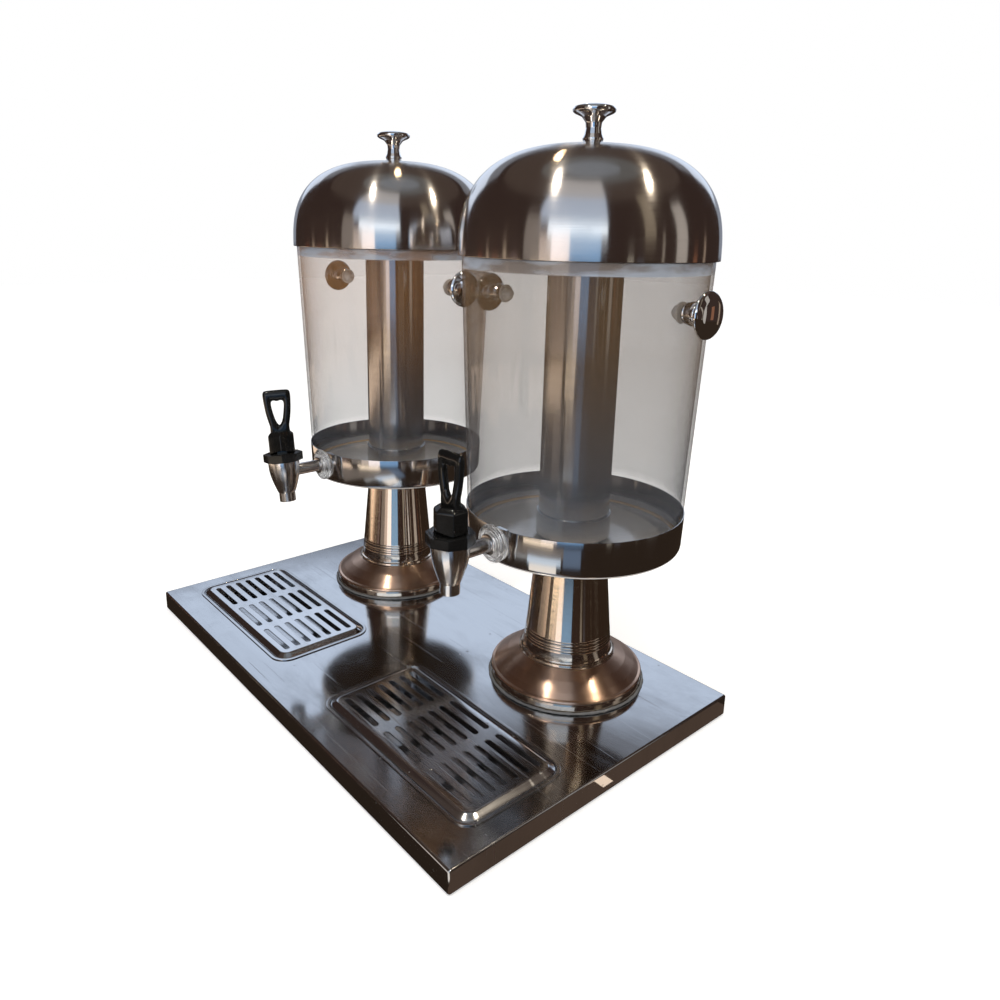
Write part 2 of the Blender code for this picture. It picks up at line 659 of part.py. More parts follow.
def make_ice_tube(side, axis):
    """Steel tube, closed below, standing in a threaded boss on the tank's floor."""
    collar_top = COLLAR_LOW + COLLAR_HEIGHT
    socket = TUBE_RADIUS + GAP
    collar = [
        (0, COLLAR_LOW + COLLAR_FLOOR),
        (socket, COLLAR_LOW + COLLAR_FLOOR),
        (socket, collar_top),
        (COLLAR_RADIUS, collar_top),
        (COLLAR_RADIUS, COLLAR_LOW),
        (bore(ROD_RADIUS, TUBE_STEPS), COLLAR_LOW),
        (bore(ROD_RADIUS, TUBE_STEPS), COLLAR_LOW + COLLAR_BORE_DEPTH),
        (0, COLLAR_LOW + COLLAR_BORE_DEPTH),
    ]
    turned(side + "_tube_collar", collar, TUBE_STEPS, POLISHED_STEEL, axis)
    inner = TUBE_RADIUS - TUBE_WALL
    tube = [
        (0, TUBE_LOW + TUBE_WALL),
        (inner, TUBE_LOW + TUBE_WALL),
        (inner, TUBE_TOP),
        (TUBE_RADIUS + TUBE_BEAD, TUBE_TOP),
        (TUBE_RADIUS + TUBE_BEAD, TUBE_TOP - 2 * TUBE_BEAD),
        (TUBE_RADIUS, TUBE_TOP - 3 * TUBE_BEAD),
        (TUBE_RADIUS, TUBE_LOW),
        (0, TUBE_LOW),
    ]
    turned(side + "_ice_tube", tube, TUBE_STEPS, POLISHED_STEEL, axis)


def dome_point(share):
    """Point of the dome's outer curve, from the crown (0) to the rim (1)."""
    angle = share * math.pi / 2
    radius = LID_RADIUS * math.sin(angle) ** (2 / LID_POWER)
    height = LID_CROWN * max(math.cos(angle), 0) ** (2 / LID_POWER)
    return radius, LID_RIM + height


def make_lid(side, axis):
    """Spun dome with a ring that locates it inside the tank, and its knob and screw."""
    screw_hole = bore(LID_SCREW_RADIUS, SHELL_STEPS)
    ring_radius = TANK_TOP_RADIUS - TANK_WALL - LID_RING_PLAY
    outline = [(screw_hole, LID_TOP)]
    outline += [dome_point(step / LID_STEPS) for step in range(1, LID_STEPS)]
    outline += [(LID_RADIUS, LID_RIM), (ring_radius, LID_RIM), (ring_radius, LID_RIM - LID_RING_DEPTH)]
    lid = turned(side + "_lid", outline, SHELL_STEPS, BRUSHED_STEEL, axis, start=HALF_STEP)
    thicken(lid, LID_WALL)

    low = LID_TOP + GAP
    height = LID_KNOB_HEIGHT
    socket = bore(LID_SCREW_RADIUS, KNOB_STEPS)
    knob_shares = ((0.68, 0.98), (0.96, 0.92), (1.0, 0.85), (0.93, 0.78), (0.54, 0.66))
    neck_shares = (0.47, 0.38)
    foot_shares = ((1.0, 0.07), (0.93, 0.0))
    knob = [(0, low + height)]
    knob += [(LID_KNOB_RADIUS * out, low + height * up) for out, up in knob_shares]
    knob += [(LID_KNOB_NECK_RADIUS, low + height * up) for up in neck_shares]
    knob += [(LID_KNOB_FOOT_RADIUS * out, low + height * up) for out, up in foot_shares]
    knob += [
        (socket, low),
        (socket, low + LID_SCREW_LENGTH + GAP),
        (0, low + LID_SCREW_LENGTH + GAP),
    ]
    turned(side + "_lid_knob", knob, KNOB_STEPS, CHROME, axis)
    head_top = LID_TOP - LID_WALL - GAP
    screw = [
        (0, low + LID_SCREW_LENGTH),
        (LID_SCREW_RADIUS, low + LID_SCREW_LENGTH),
        (LID_SCREW_RADIUS, head_top),
        (LID_SCREW_HEAD_RADIUS, head_top),
        (LID_SCREW_HEAD_END, head_top - LID_SCREW_HEAD),
        (0, head_top - LID_SCREW_HEAD),
    ]
    turned(side + "_lid_screw", screw, PIN_STEPS, ZINC_STEEL, axis)


def make_side_knobs(side, sign, axis):
    """Two grips on the tank, each with a stud through the wall and a cap nut inside."""
    wall_out = SIDE_KNOB_SEAT
    wall_in = (tank_radius(SIDE_KNOB_Z - CAP_NUT_FLANGE_RADIUS) - TANK_WALL) * FLAT - GAP
    length = SIDE_KNOB_LENGTH
    knob_shares = ((0.55, 0.98), (0.93, 0.89), (1.0, 0.81), (0.90, 0.73))
    barrel_shares = ((0.70, 0.68), (1.0, 0.40), (0.80, 0.0))
    knob = [(0, wall_out + length)]
    knob += [(SIDE_KNOB_RADIUS * out, wall_out + length * along) for out, along in knob_shares]
    knob += [(SIDE_BARREL_RADIUS * out, wall_out + length * along) for out, along in barrel_shares]
    knob += [(STUD_RADIUS, wall_out), (STUD_RADIUS, wall_out - STUD_LENGTH), (0, wall_out - STUD_LENGTH)]
    nut_end = wall_in - CAP_NUT_LENGTH
    socket = bore(STUD_RADIUS, PIN_STEPS)
    socket_end = wall_out - STUD_LENGTH - GAP
    nut = [
        (0, socket_end),
        (socket, socket_end),
        (socket, wall_in),
        (CAP_NUT_FLANGE_RADIUS, wall_in),
        (CAP_NUT_FLANGE_RADIUS, wall_in - CAP_NUT_FLANGE),
        (CAP_NUT_RADIUS, wall_in - CAP_NUT_FLANGE),
        (CAP_NUT_RADIUS, nut_end + CAP_NUT_FLANGE),
        (CAP_NUT_END, nut_end),
        (0, nut_end),
    ]
    for way, turn in (("out", sign), ("in", -sign)):
        where = {"location": (0, 0, SIDE_KNOB_Z), "rotation": (0, turn * math.pi / 2, 0)}
        turned("{}_knob_{}".format(side, way), knob, KNOB_STEPS, CHROME, axis, **where)
        turned("{}_nut_{}".format(side, way), nut, PIN_STEPS, ZINC_STEEL, axis, **where)


def make_tap_body(side, tap):
    """Chrome bowl with its nozzle, valve seat and shank."""
    outline = [(NECK_RADIUS, NECK_TOP), (NECK_RADIUS, BOWL_TOP), (BOWL_RADIUS, BOWL_TOP)]
    curve_top = BOWL_TOP - BOWL_SHOULDER
    foot_radius = NOZZLE_RADIUS + NOZZLE_EDGE
    for step in range(BOWL_STEPS + 1):
        share = 1 - step / BOWL_STEPS
        radius = foot_radius + (BOWL_RADIUS - foot_radius) * math.sin(share * math.pi / 2)
        outline.append((radius, NOZZLE_LENGTH + share * (curve_top - NOZZLE_LENGTH)))
    outline += [
        (NOZZLE_RADIUS, NOZZLE_LENGTH - NOZZLE_EDGE),
        (NOZZLE_RADIUS, 0),
        (NOZZLE_BORE, 0),
        (NOZZLE_BORE, SEAT_LOW),
        (SEAT_HIGH_RADIUS, SEAT_HIGH),
        (CHAMBER_RADIUS, CHAMBER_LOW),
        (CHAMBER_RADIUS, NECK_TOP),
    ]
    body = turned(side + "_tap_body", outline, BORE_STEPS, CHROME, tap, closed=True)
    shank_start = CHAMBER_RADIUS + SHANK_ROOT
    join_to(body, shank_cutter(side + "_shank", tap, SHANK_RADIUS, shank_start, shank_end()))
    shoulder_end = washer_face() - GAP
    shoulder_start = shoulder_end - SHOULDER_THICKNESS
    join_to(body, shank_cutter(side + "_shank_shoulder", tap, SHOULDER_RADIUS, shoulder_start, shoulder_end,
                               STEP_ASIDE))
    cut(body, shank_cutter(side + "_shank_bore", tap, SHANK_BORE, STEM_RADIUS, shank_end() + OVERRUN, 0))


def washer_face():
    """Outer face of the clear washer, behind the tap's axis."""
    return TAP_REACH - pan_radius(SHANK_Z) * FLAT - GAP - WASHER_THICKNESS - WASHER_STEP


def inner_face():
    """Where the inner seal's flat side lies, behind the tap's axis."""
    return TAP_REACH - (tank_radius(SHANK_Z) - TANK_WALL) * FLAT + GAP + INNER_SEAL_THICKNESS


def shank_end():
    return inner_face() + GAP + LOCK_NUT_THICKNESS + SHANK_TAIL


def cone_cutter(name, axis, inset):
    """Solid with the tank's taper, smaller than the tank by inset, round the tap hole."""
    low = SHANK_Z - WASHER_RADIUS - OVERRUN
    high = SHANK_Z + WASHER_RADIUS + OVERRUN
    outline = [(0, high), (tank_radius(high) - inset, high), (tank_radius(low) - inset, low), (0, low)]
    return turned_cutter(name, outline, SHELL_STEPS, axis)


def make_tap_seals(side, axis, tap, level):
    """Clear washer outside the pan, seal inside the tank, and the lock nut."""
    where = {"location": (0, 0, SHANK_HEIGHT), "rotation": (-math.pi / 2, 0, 0)}
    hole = bore(SHANK_RADIUS, BORE_STEPS)
    face = washer_face()
    saddle = WASHER_RADIUS ** 2 / pan_radius(SHANK_Z)
    back = face + WASHER_STEP + WASHER_THICKNESS + saddle
    washer = [
        (hole, back),
        (WASHER_RADIUS, back),
        (WASHER_RADIUS, face + WASHER_STEP),
        (WASHER_STEP_RADIUS, face + WASHER_STEP),
        (WASHER_STEP_RADIUS, face),
        (hole, face),
    ]
    look = CLEAR_SILICONE
    washer_piece = turned(side + "_tap_washer", washer, BORE_STEPS, look, tap, True, HALF_STEP, **where)
    cut(washer_piece, cone_cutter(side + "_washer_saddle", axis, -(PAN_WALL + 2 * GAP)))

    inner = inner_face()
    seal = ring_outline(hole, INNER_SEAL_RADIUS, inner - INNER_SEAL_THICKNESS - saddle, inner)
    seal_piece = turned(side + "_tap_seal", seal, BORE_STEPS, look, tap, True, HALF_STEP, **where)
    cut(seal_piece, cone_cutter(side + "_seal_saddle", axis, TANK_WALL + GAP), "INTERSECT")

    nut_low = inner + GAP
    nut_high = nut_low + LOCK_NUT_THICKNESS
    nut_mesh = prism_mesh(side + "_tap_lock_nut", 6, LOCK_NUT_RADIUS, nut_low, nut_high, HALF_STEP)
    nut = add_piece(side + "_tap_lock_nut", nut_mesh, CHROME, level, **where)
    cut(nut, shank_cutter(side + "_lock_nut_bore", tap, hole, nut_low - OVERRUN, nut_high + OVERRUN))


def make_bonnet(side, swivel):
    """Eight-sided nut that closes the valve, with the tower that carries the lever's pin."""
    top = BONNET_LOW + BONNET_HEIGHT
    name = side + "_tap_bonnet"
    octagon = prism_mesh(name, 8, BONNET_RADIUS, BONNET_LOW, top)
    bonnet = add_piece(name, octagon, BLACK_PLASTIC, swivel)
    round_edges(bonnet, BONNET_BEVEL)
    tower = box_mesh(side + "_tower", (-TOWER_HALF_WIDTH, -TOWER_FRONT, top - BONNET_CEILING / 2),
                     (TOWER_HALF_WIDTH, TOWER_BACK, TOWER_TOP))
    join_to(bonnet, add_cutter(side + "_tower", tower, swivel))
    neck = rod_outline(bore(NECK_RADIUS, TUBE_STEPS), BONNET_LOW - OVERRUN, top - BONNET_CEILING)
    cut(bonnet, turned_cutter(side + "_bonnet_bore", neck, TUBE_STEPS, swivel, STEP_ASIDE))
    stem = rod_outline(STEM_RADIUS + GAP, BONNET_LOW, TOWER_TOP + OVERRUN)
    cut(bonnet, turned_cutter(side + "_stem_bore", stem, BORE_STEPS, swivel))
    cut(bonnet, pin_cutter(side + "_tower_pin_hole", swivel, TOWER_HALF_WIDTH + OVERRUN,
                           location=(0, -PIN_AHEAD, PIN_HEIGHT)))


def pin_cutter(name, parent, half_length, **where):
    """Hole for the lever's pin, along the parent's X."""
    hole = rod_outline(PIN_RADIUS + GAP, -half_length, half_length)
    return turned_cutter(name, hole, LEVER_PIN_STEPS, parent, rotation=(0, math.pi / 2, 0), **where)


def make_valve(side, swivel):
    """Pin of the lever, stem lifted by the lever's fork, and the silicone cup on the seat."""
    skirt_half = SKIRT_RADIUS * math.cos(math.pi / 6)
    pin = rod_outline(PIN_RADIUS, -skirt_half, skirt_half)
    turned(side + "_lever_pin", pin, LEVER_PIN_STEPS, ZINC_STEEL, swivel, start=HALF_STEP,
           location=(0, -PIN_AHEAD, PIN_HEIGHT), rotation=(0, math.pi / 2, 0))
    cup_low = SEAT_LOW - SEAT_CLEARANCE
    cup_high = cup_low + CUP_HEIGHT
    socket_low = cup_high - CUP_SOCKET
    head_low = FORK_LOW + FORK_THICKNESS + GAP
    stem = [
        (0, head_low + STEM_HEAD),
        (STEM_HEAD_RADIUS, head_low + STEM_HEAD),
        (STEM_HEAD_RADIUS, head_low),
        (STEM_RADIUS, head_low),
        (STEM_RADIUS, socket_low + GAP),
        (0, socket_low + GAP),
    ]
    turned(side + "_valve_stem", stem, BORE_STEPS, POLISHED_STEEL, swivel, start=HALF_STEP)
    slope = (SEAT_HIGH_RADIUS - NOZZLE_BORE) / (SEAT_HIGH - SEAT_LOW)
    brim = SEAT_LOW + (CUP_RADIUS + SEAT_CLEARANCE - NOZZLE_BORE) / slope
    tip = SEAT_LOW + CUP_TIP
    cup = [
        (0, socket_low),
        (STEM_RADIUS + GAP, socket_low),
        (STEM_RADIUS + GAP, cup_high),
        (STEM_RADIUS + CUP_NECK_WALL, cup_high),
        (CUP_RADIUS, brim + CUP_RIM),
        (CUP_RADIUS, brim),
        (NOZZLE_BORE - SEAT_CLEARANCE + slope * (tip - SEAT_LOW), tip),
        (NOZZLE_BORE - CUP_CHAMFER, cup_low),
        (0, cup_low),
    ]
    turned(side + "_seat_cup", cup, BORE_STEPS, WHITE_SILICONE, swivel, start=HALF_STEP)


def loop_curve(name):
    """Flat wishbone outline of the lever's loop with its finger opening, given its depth."""
    loop_low = SKIRT_TOP
    height = LOOP_TOP - loop_low
    outer_shares = ((0.0, 0.0), (0.04, 0.22), (0.42, 0.52), (0.88, 0.78), (1.0, 0.90), (0.93, 0.965))
    right = []
    for out_share, up_share in outer_shares:
        half = LOOP_FOOT_HALF_WIDTH + out_share * (LOOP_HALF_WIDTH - LOOP_FOOT_HALF_WIDTH)
        right.append((half, loop_low + up_share * height))
    right.append((LOOP_HALF_WIDTH - LOOP_CORNER, LOOP_TOP))
    outer = right + [(-x, z) for x, z in reversed(right)]
    opening_top = LOOP_TOP - LOOP_BAR
    opening_height = opening_top - LOOP_CROTCH
    widest = LOOP_HALF_WIDTH - LOOP_ARM
    inner_shares = ((0.14, 0.0), (0.40, 0.17), (0.74, 0.48), (1.0, 0.84), (0.86, 1.0), (0.28, 0.95))
    inner_right = [(widest * out, LOOP_CROTCH + up * opening_height) for out, up in inner_shares]
    inner = inner_right + [(-x, z) for x, z in reversed(inner_right)]

    curve = bpy.data.curves.new(name, "CURVE")
    curve.dimensions = "2D"
    curve.fill_mode = "BOTH"
    curve.extrude = LOOP_DEPTH / 2 - LOOP_ROUND
    curve.bevel_depth = LOOP_ROUND
    curve.bevel_resolution = 0
    curve.offset = -LOOP_ROUND
    for points in (outer, inner):
        spline = curve.splines.new("POLY")
        spline.points.add(len(points) - 1)
        spline.use_cyclic_u = True
        for point, (x, z) in zip(spline.points, points):
            point.co = (x, z, 0, 1)
    return curve


def curve_to_mesh(name, curve, parent, **where):
    """Turns a curve into a cutter object with a welded mesh."""
    source = bpy.data.objects.new(name + "_curve", curve)
    cutters.objects.link(source)
    bpy.context.view_layer.update()
    evaluated = source.evaluated_get(bpy.context.evaluated_depsgraph_get())
    mesh = bpy.data.meshes.new_from_object(evaluated)
    bpy.data.objects.remove(source)
    shape = bmesh.new()
    shape.from_mesh(mesh)
    bmesh.ops.remove_doubles(shape, verts=shape.verts, dist=MERGE)
    bmesh.ops.recalc_face_normals(shape, faces=shape.faces)
    shape.to_mesh(mesh)
    shape.free()
    return add_cutter(name, mesh, parent, **where)


def make_lever(side, swivel):
    """Wishbone lever: six-sided skirt over the tower, fork under the stem's head, finger loop."""
    hinge = add_empty(side + "_lever_axis", (0, -PIN_AHEAD, PIN_HEIGHT), parent=swivel)
    back = (0, PIN_AHEAD, -PIN_HEIGHT)
    skirt_low = BONNET_LOW + BONNET_HEIGHT + GAP
    shape = bmesh.new()
    add_prism(shape, 6, SKIRT_RADIUS, skirt_low, SKIRT_TOP)
    roof = max(shape.faces, key=lambda face: face.calc_center_median().z)
    bmesh.ops.inset_region(shape, faces=[roof], thickness=SHOULDER_INSET, depth=SHOULDER_RISE)
    lever = add_piece(side + "_tap_lever", to_mesh(shape, side + "_tap_lever"), BLACK_PLASTIC, hinge, back)
    round_edges(lever, BONNET_BEVEL)
    loop = curve_to_mesh(side + "_loop", loop_curve(side + "_loop"), hinge, location=back,
                         rotation=(math.pi / 2, 0, 0))
    join_to(lever, loop)

    inner = SKIRT_RADIUS - SKIRT_WALL
    fork_top = FORK_LOW + FORK_THICKNESS
    hollows = {"_skirt_hollow": (skirt_low - OVERRUN, FORK_LOW), "_fork_pocket": (fork_top, SKIRT_CEILING)}
    for name, (low, high) in hollows.items():
        cut(lever, add_cutter(side + name, prism_mesh(side + name, 6, inner, low, high), hinge, back))
    slot_half = STEM_RADIUS + GAP + FORK_PLAY
    slot = box_mesh(side + "_fork_slot", (-slot_half, -FORK_SLOT_FRONT, FORK_LOW - GAP),
                    (slot_half, FORK_KEY_BACK, fork_top + GAP))
    cut(lever, add_cutter(side + "_fork_slot", slot, hinge, back))
    key = rod_outline(FORK_KEY_RADIUS, FORK_LOW - 2 * GAP, fork_top + 2 * GAP)
    cut(lever, turned_cutter(side + "_fork_key", key, BORE_STEPS, hinge,
                             location=(0, PIN_AHEAD + FORK_KEY_BACK, -PIN_HEIGHT)))
    cut(lever, pin_cutter(side + "_lever_pin_hole", hinge, SKIRT_RADIUS))

    tilt = LEVER_TRAVEL + LEVER_SPARE
    drop = (PIN_HEIGHT - skirt_low) / math.cos(tilt)
    wedge = box_mesh(side + "_toe_relief", (-SKIRT_RADIUS, -2 * SKIRT_RADIUS, -SKIRT_RADIUS),
                     (SKIRT_RADIUS, 0, 0))
    cut(lever, add_cutter(side + "_toe_relief", wedge, hinge, (0, 0, -drop), (-tilt, 0, 0)))
    pocket_side = TOWER_HALF_WIDTH + 2 * GAP
    pocket = box_mesh(side + "_toe_pocket", (-pocket_side, -TOWER_FRONT - TOE_POCKET, skirt_low - OVERRUN),
                      (pocket_side, -PIN_AHEAD, PIN_HEIGHT + 2 * GAP))
    cut(lever, add_cutter(side + "_toe_pocket", pocket, hinge, back))


def make_dispenser(side, sign):
    x = sign * SPACING / 2
    axis = add_empty(side + "_axis", (x, TANK_Y, 0))
    shank = add_empty(side + "_shank_axis", (x, TANK_Y - TAP_REACH, SHANK_Z), lean=TAP_LEAN[side])
    level = add_empty(side + "_tap_level", (x, TANK_Y - TAP_REACH, NOZZLE_Z))
    tap = add_empty(side + "_tap_axis", (0, 0, -SHANK_HEIGHT), parent=shank)
    swivel = add_empty(side + "_tap_swivel", (0, 0, 0), TAP_TURN[side], tap)
    make_drip_tray(side, x)
    make_drip_grille(side, x)
    make_pedestal(side, axis)
    make_tie(side, axis)
    make_pan(side, axis, tap)
    make_tank(side, axis, tap)
    make_ice_tube(side, axis)
    make_lid(side, axis)
    make_side_knobs(side, sign, axis)
    make_tap_body(side, tap)
    make_tap_seals(side, axis, tap, level)
    make_bonnet(side, swivel)
    make_valve(side, swivel)
    make_lever(side, swivel)


clear_scene()
parts = new_collection("juice_dispenser")
cutters = new_collection("cutters")
make_base()
make_feet()
for side_name, side_sign in SIDES.items():
    make_dispenser(side_name, side_sign)
bpy.context.view_layer.update()
for piece in parts.objects:
    print(piece.name)
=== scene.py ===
# %% [markdown]
# # Dressing a double juice dispenser
# Two clear tanks stand under spun steel domes, each in a shallow pan on a conical pedestal, and both pedestals
# are fixed to one folded steel base with two drip trays. The imported model gives every piece its exact place.
# This lesson builds the smooth, finished form of each visible piece over that frame and gives each one its
# finish. The frame is loaded first. Nothing that we add may make it bigger.

# %% Load the frame
import math

import bpy
from mathutils import Matrix, Vector


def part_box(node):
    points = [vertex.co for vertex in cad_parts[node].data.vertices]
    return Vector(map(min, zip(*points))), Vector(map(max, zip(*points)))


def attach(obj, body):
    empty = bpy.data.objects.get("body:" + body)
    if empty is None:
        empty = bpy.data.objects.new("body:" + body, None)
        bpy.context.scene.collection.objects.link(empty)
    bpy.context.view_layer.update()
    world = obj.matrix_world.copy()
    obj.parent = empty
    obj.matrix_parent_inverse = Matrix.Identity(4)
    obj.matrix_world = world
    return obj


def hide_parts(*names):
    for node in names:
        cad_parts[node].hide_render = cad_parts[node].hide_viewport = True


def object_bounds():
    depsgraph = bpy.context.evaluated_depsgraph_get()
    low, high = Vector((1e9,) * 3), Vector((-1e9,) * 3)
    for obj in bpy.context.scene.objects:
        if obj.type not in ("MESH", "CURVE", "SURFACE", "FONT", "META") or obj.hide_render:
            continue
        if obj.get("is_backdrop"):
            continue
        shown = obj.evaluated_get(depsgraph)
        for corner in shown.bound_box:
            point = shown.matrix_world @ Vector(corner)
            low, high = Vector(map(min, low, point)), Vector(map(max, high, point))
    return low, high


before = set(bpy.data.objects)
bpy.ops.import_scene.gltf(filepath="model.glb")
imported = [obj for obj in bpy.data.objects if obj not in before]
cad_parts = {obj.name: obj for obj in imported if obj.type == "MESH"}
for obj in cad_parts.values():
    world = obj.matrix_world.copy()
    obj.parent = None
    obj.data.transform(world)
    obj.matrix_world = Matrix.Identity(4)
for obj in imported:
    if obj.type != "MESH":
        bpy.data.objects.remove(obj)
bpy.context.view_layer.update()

# %% [markdown]
# ## Where things stand
# The centre lines of the tanks are read from the frame instead of being typed again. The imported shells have 24
# flat facets with a flat at the front, back and sides, and the knobs and taps are seated on those flats. A round
# shell that touches the flats from inside therefore meets every knob and washer exactly and stays in the box.

# %% Centre lines and shared sizes
tank_low, tank_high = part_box("right_tank")
TANK_X = (tank_low.x + tank_high.x) / 2
TANK_Y = (tank_low.y + tank_high.y) / 2
ROUND = math.cos(math.pi / 24)
BASE_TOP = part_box("base_plate")[1].z
PAN_FOOT, PAN_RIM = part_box("right_pan")[0].z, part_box("right_pan")[1].z
TANK_RIM = tank_high.z
SIDES = {"right": 1, "left": -1}


def tank_radius(z):
    """Outer radius of the tapered tank at height z."""
    return (0.1140 - (TANK_RIM - z) * 0.0087 / (TANK_RIM - PAN_RIM)) * ROUND


print("tank axis", round(TANK_X, 4), round(TANK_Y, 4), "rim radius", round(tank_radius(TANK_RIM), 4))

# %% [markdown]
# ## The camera
# The photograph is taken from the front right corner, a little above the tanks' rims, with the camera turned
# down by 15 degrees and held about a degree off level. These numbers come from matching the corners of the base
# and the rings of both tanks. The lens is short, so the near dispenser looks clearly larger than the far one.

# %% Camera
turn, dip, tilt = (math.radians(angle) for angle in (48.93, 15.04, 1.22))
ahead = Vector((-math.sin(turn) * math.cos(dip), math.cos(turn) * math.cos(dip), -math.sin(dip)))
level_right = Vector((math.cos(turn), math.sin(turn), 0))
level_up = level_right.cross(ahead)
right = math.cos(tilt) * level_right + math.sin(tilt) * level_up
up = math.cos(tilt) * level_up - math.sin(tilt) * level_right
bpy.ops.object.camera_add()
camera = bpy.context.object
pose = Matrix((right, up, -ahead)).transposed().to_4x4()
pose.translation = Vector((0.6441, -0.4730, 0.4643))
camera.matrix_world = pose
camera.data.lens = 28.23
camera.data.shift_x = 0.01335
camera.data.shift_y = -0.05974
camera.data.clip_start = 0.01
bpy.context.scene.camera = camera
bpy.context.scene.view_settings.view_transform = "Standard"
print("camera at", tuple(round(value, 3) for value in camera.location))

# %% [markdown]
# ## Shader maths that reads as arithmetic
# A finish is a recipe of nodes. Wrapping a socket in a small class with Python's operators lets us write
# `0.2 + 0.1 * grain` and get the Math nodes for it. Every other node comes from one method that takes the
# node's type, its settings and its inputs.

# %% Signals and recipes
class Signal:
    """One output of a node, which can be used in sums."""

    def __init__(self, recipe, socket):
        self.recipe, self.socket = recipe, socket

    def maths(self, operation, first, second=0.0):
        return self.recipe.node("ShaderNodeMath", {"operation": operation}, {0: first, 1: second})

    def __add__(self, other):
        return self.maths("ADD", self, other)

    def __mul__(self, other):
        return self.maths("MULTIPLY", self, other)

    def __sub__(self, other):
        return self.maths("SUBTRACT", self, other)

    def __rsub__(self, other):
        return self.maths("SUBTRACT", other, self)

    def __truediv__(self, other):
        return self.maths("DIVIDE", self, other)

    def __pow__(self, other):
        return self.maths("POWER", self, other)

    __radd__ = __add__
    __rmul__ = __mul__


class Recipe:
    """A material: constants on the shader's own sockets, and nodes for what varies over the surface."""

    def __init__(self, name, **constants):
        self.material = bpy.data.materials.new(name)
        self.material.use_nodes = True
        self.tree = self.material.node_tree
        self.shader = self.tree.nodes["Principled BSDF"]
        for socket, value in constants.items():
            self.shader.inputs[socket.replace("_", " ")].default_value = value

    def node(self, kind, settings=None, inputs=None, output=0):
        made = self.tree.nodes.new(kind)
        for name, value in (settings or {}).items():
            setattr(made, name, value)
        for name, value in (inputs or {}).items():
            self.feed(made.inputs[name], value)
        return Signal(self, made.outputs[output])

    def feed(self, socket, value):
        if isinstance(value, Signal):
            self.tree.links.new(value.socket, socket)
        else:
            socket.default_value = value

    def shade(self, **inputs):
        for name, value in inputs.items():
            self.feed(self.shader.inputs[name.replace("_", " ")], value)

    def place(self, centre=(0, 0, 0), scale=(1, 1, 1)):
        """Object coordinates measured from a centre, then scaled."""
        here = self.node("ShaderNodeTexCoord", output=3)
        shift = {0: here, 1: tuple(-value for value in centre)}
        moved = self.node("ShaderNodeVectorMath", {"operation": "ADD"}, shift)
        return self.node("ShaderNodeVectorMath", {"operation": "MULTIPLY"}, {0: moved, 1: scale})

    def axes(self, vector):
        """The three parts of a vector."""
        parts = self.node("ShaderNodeSeparateXYZ", None, {0: vector})
        return [Signal(self, socket) for socket in parts.socket.node.outputs]

    def noise(self, where, detail=2.0, roughness=0.5, distortion=0.0):
        """Noise at a vector, or at the object coordinates times a scale in x, y and z."""
        values = {"Vector": where if isinstance(where, Signal) else self.place(scale=where), "Scale": 1.0,
                  "Detail": detail, "Roughness": roughness, "Distortion": distortion}
        return self.node("ShaderNodeTexNoise", None, values)

    def scratches(self, layers, low, high):
        """Fine straight lines in a few directions, from layers of (shift, turn, scale)."""
        lines = 0.0
        for shift, turn, scale in layers:
            values = {"Vector": self.place(shift), "Rotation": turn, "Scale": scale}
            stretched = self.node("ShaderNodeMapping", None, values)
            lines = self.span(self.noise(stretched, detail=1.0), low, high) + lines
        return lines

    def span(self, value, low, high, out_low=0.0, out_high=1.0):
        """Maps low..high to out_low..out_high with soft ends."""
        values = {0: value, 1: low, 2: high, 3: out_low, 4: out_high}
        return self.node("ShaderNodeMapRange", {"interpolation_type": "SMOOTHSTEP"}, values)

    def mix(self, factor, first, second):
        """A colour between two, each of them a signal or (red, green, blue)."""
        first, second = (side if isinstance(side, Signal) else (*side, 1) for side in (first, second))
        return self.node("ShaderNodeMix", {"data_type": "RGBA"}, {0: factor, 6: first, 7: second}, output=2)

    def bump(self, height, distance, strength):
        values = {"Height": height, "Distance": distance, "Strength": strength}
        self.shade(Normal=self.node("ShaderNodeBump", None, values))


def darker(colour, share):
    return tuple(value * share for value in colour)


print("recipes ready")
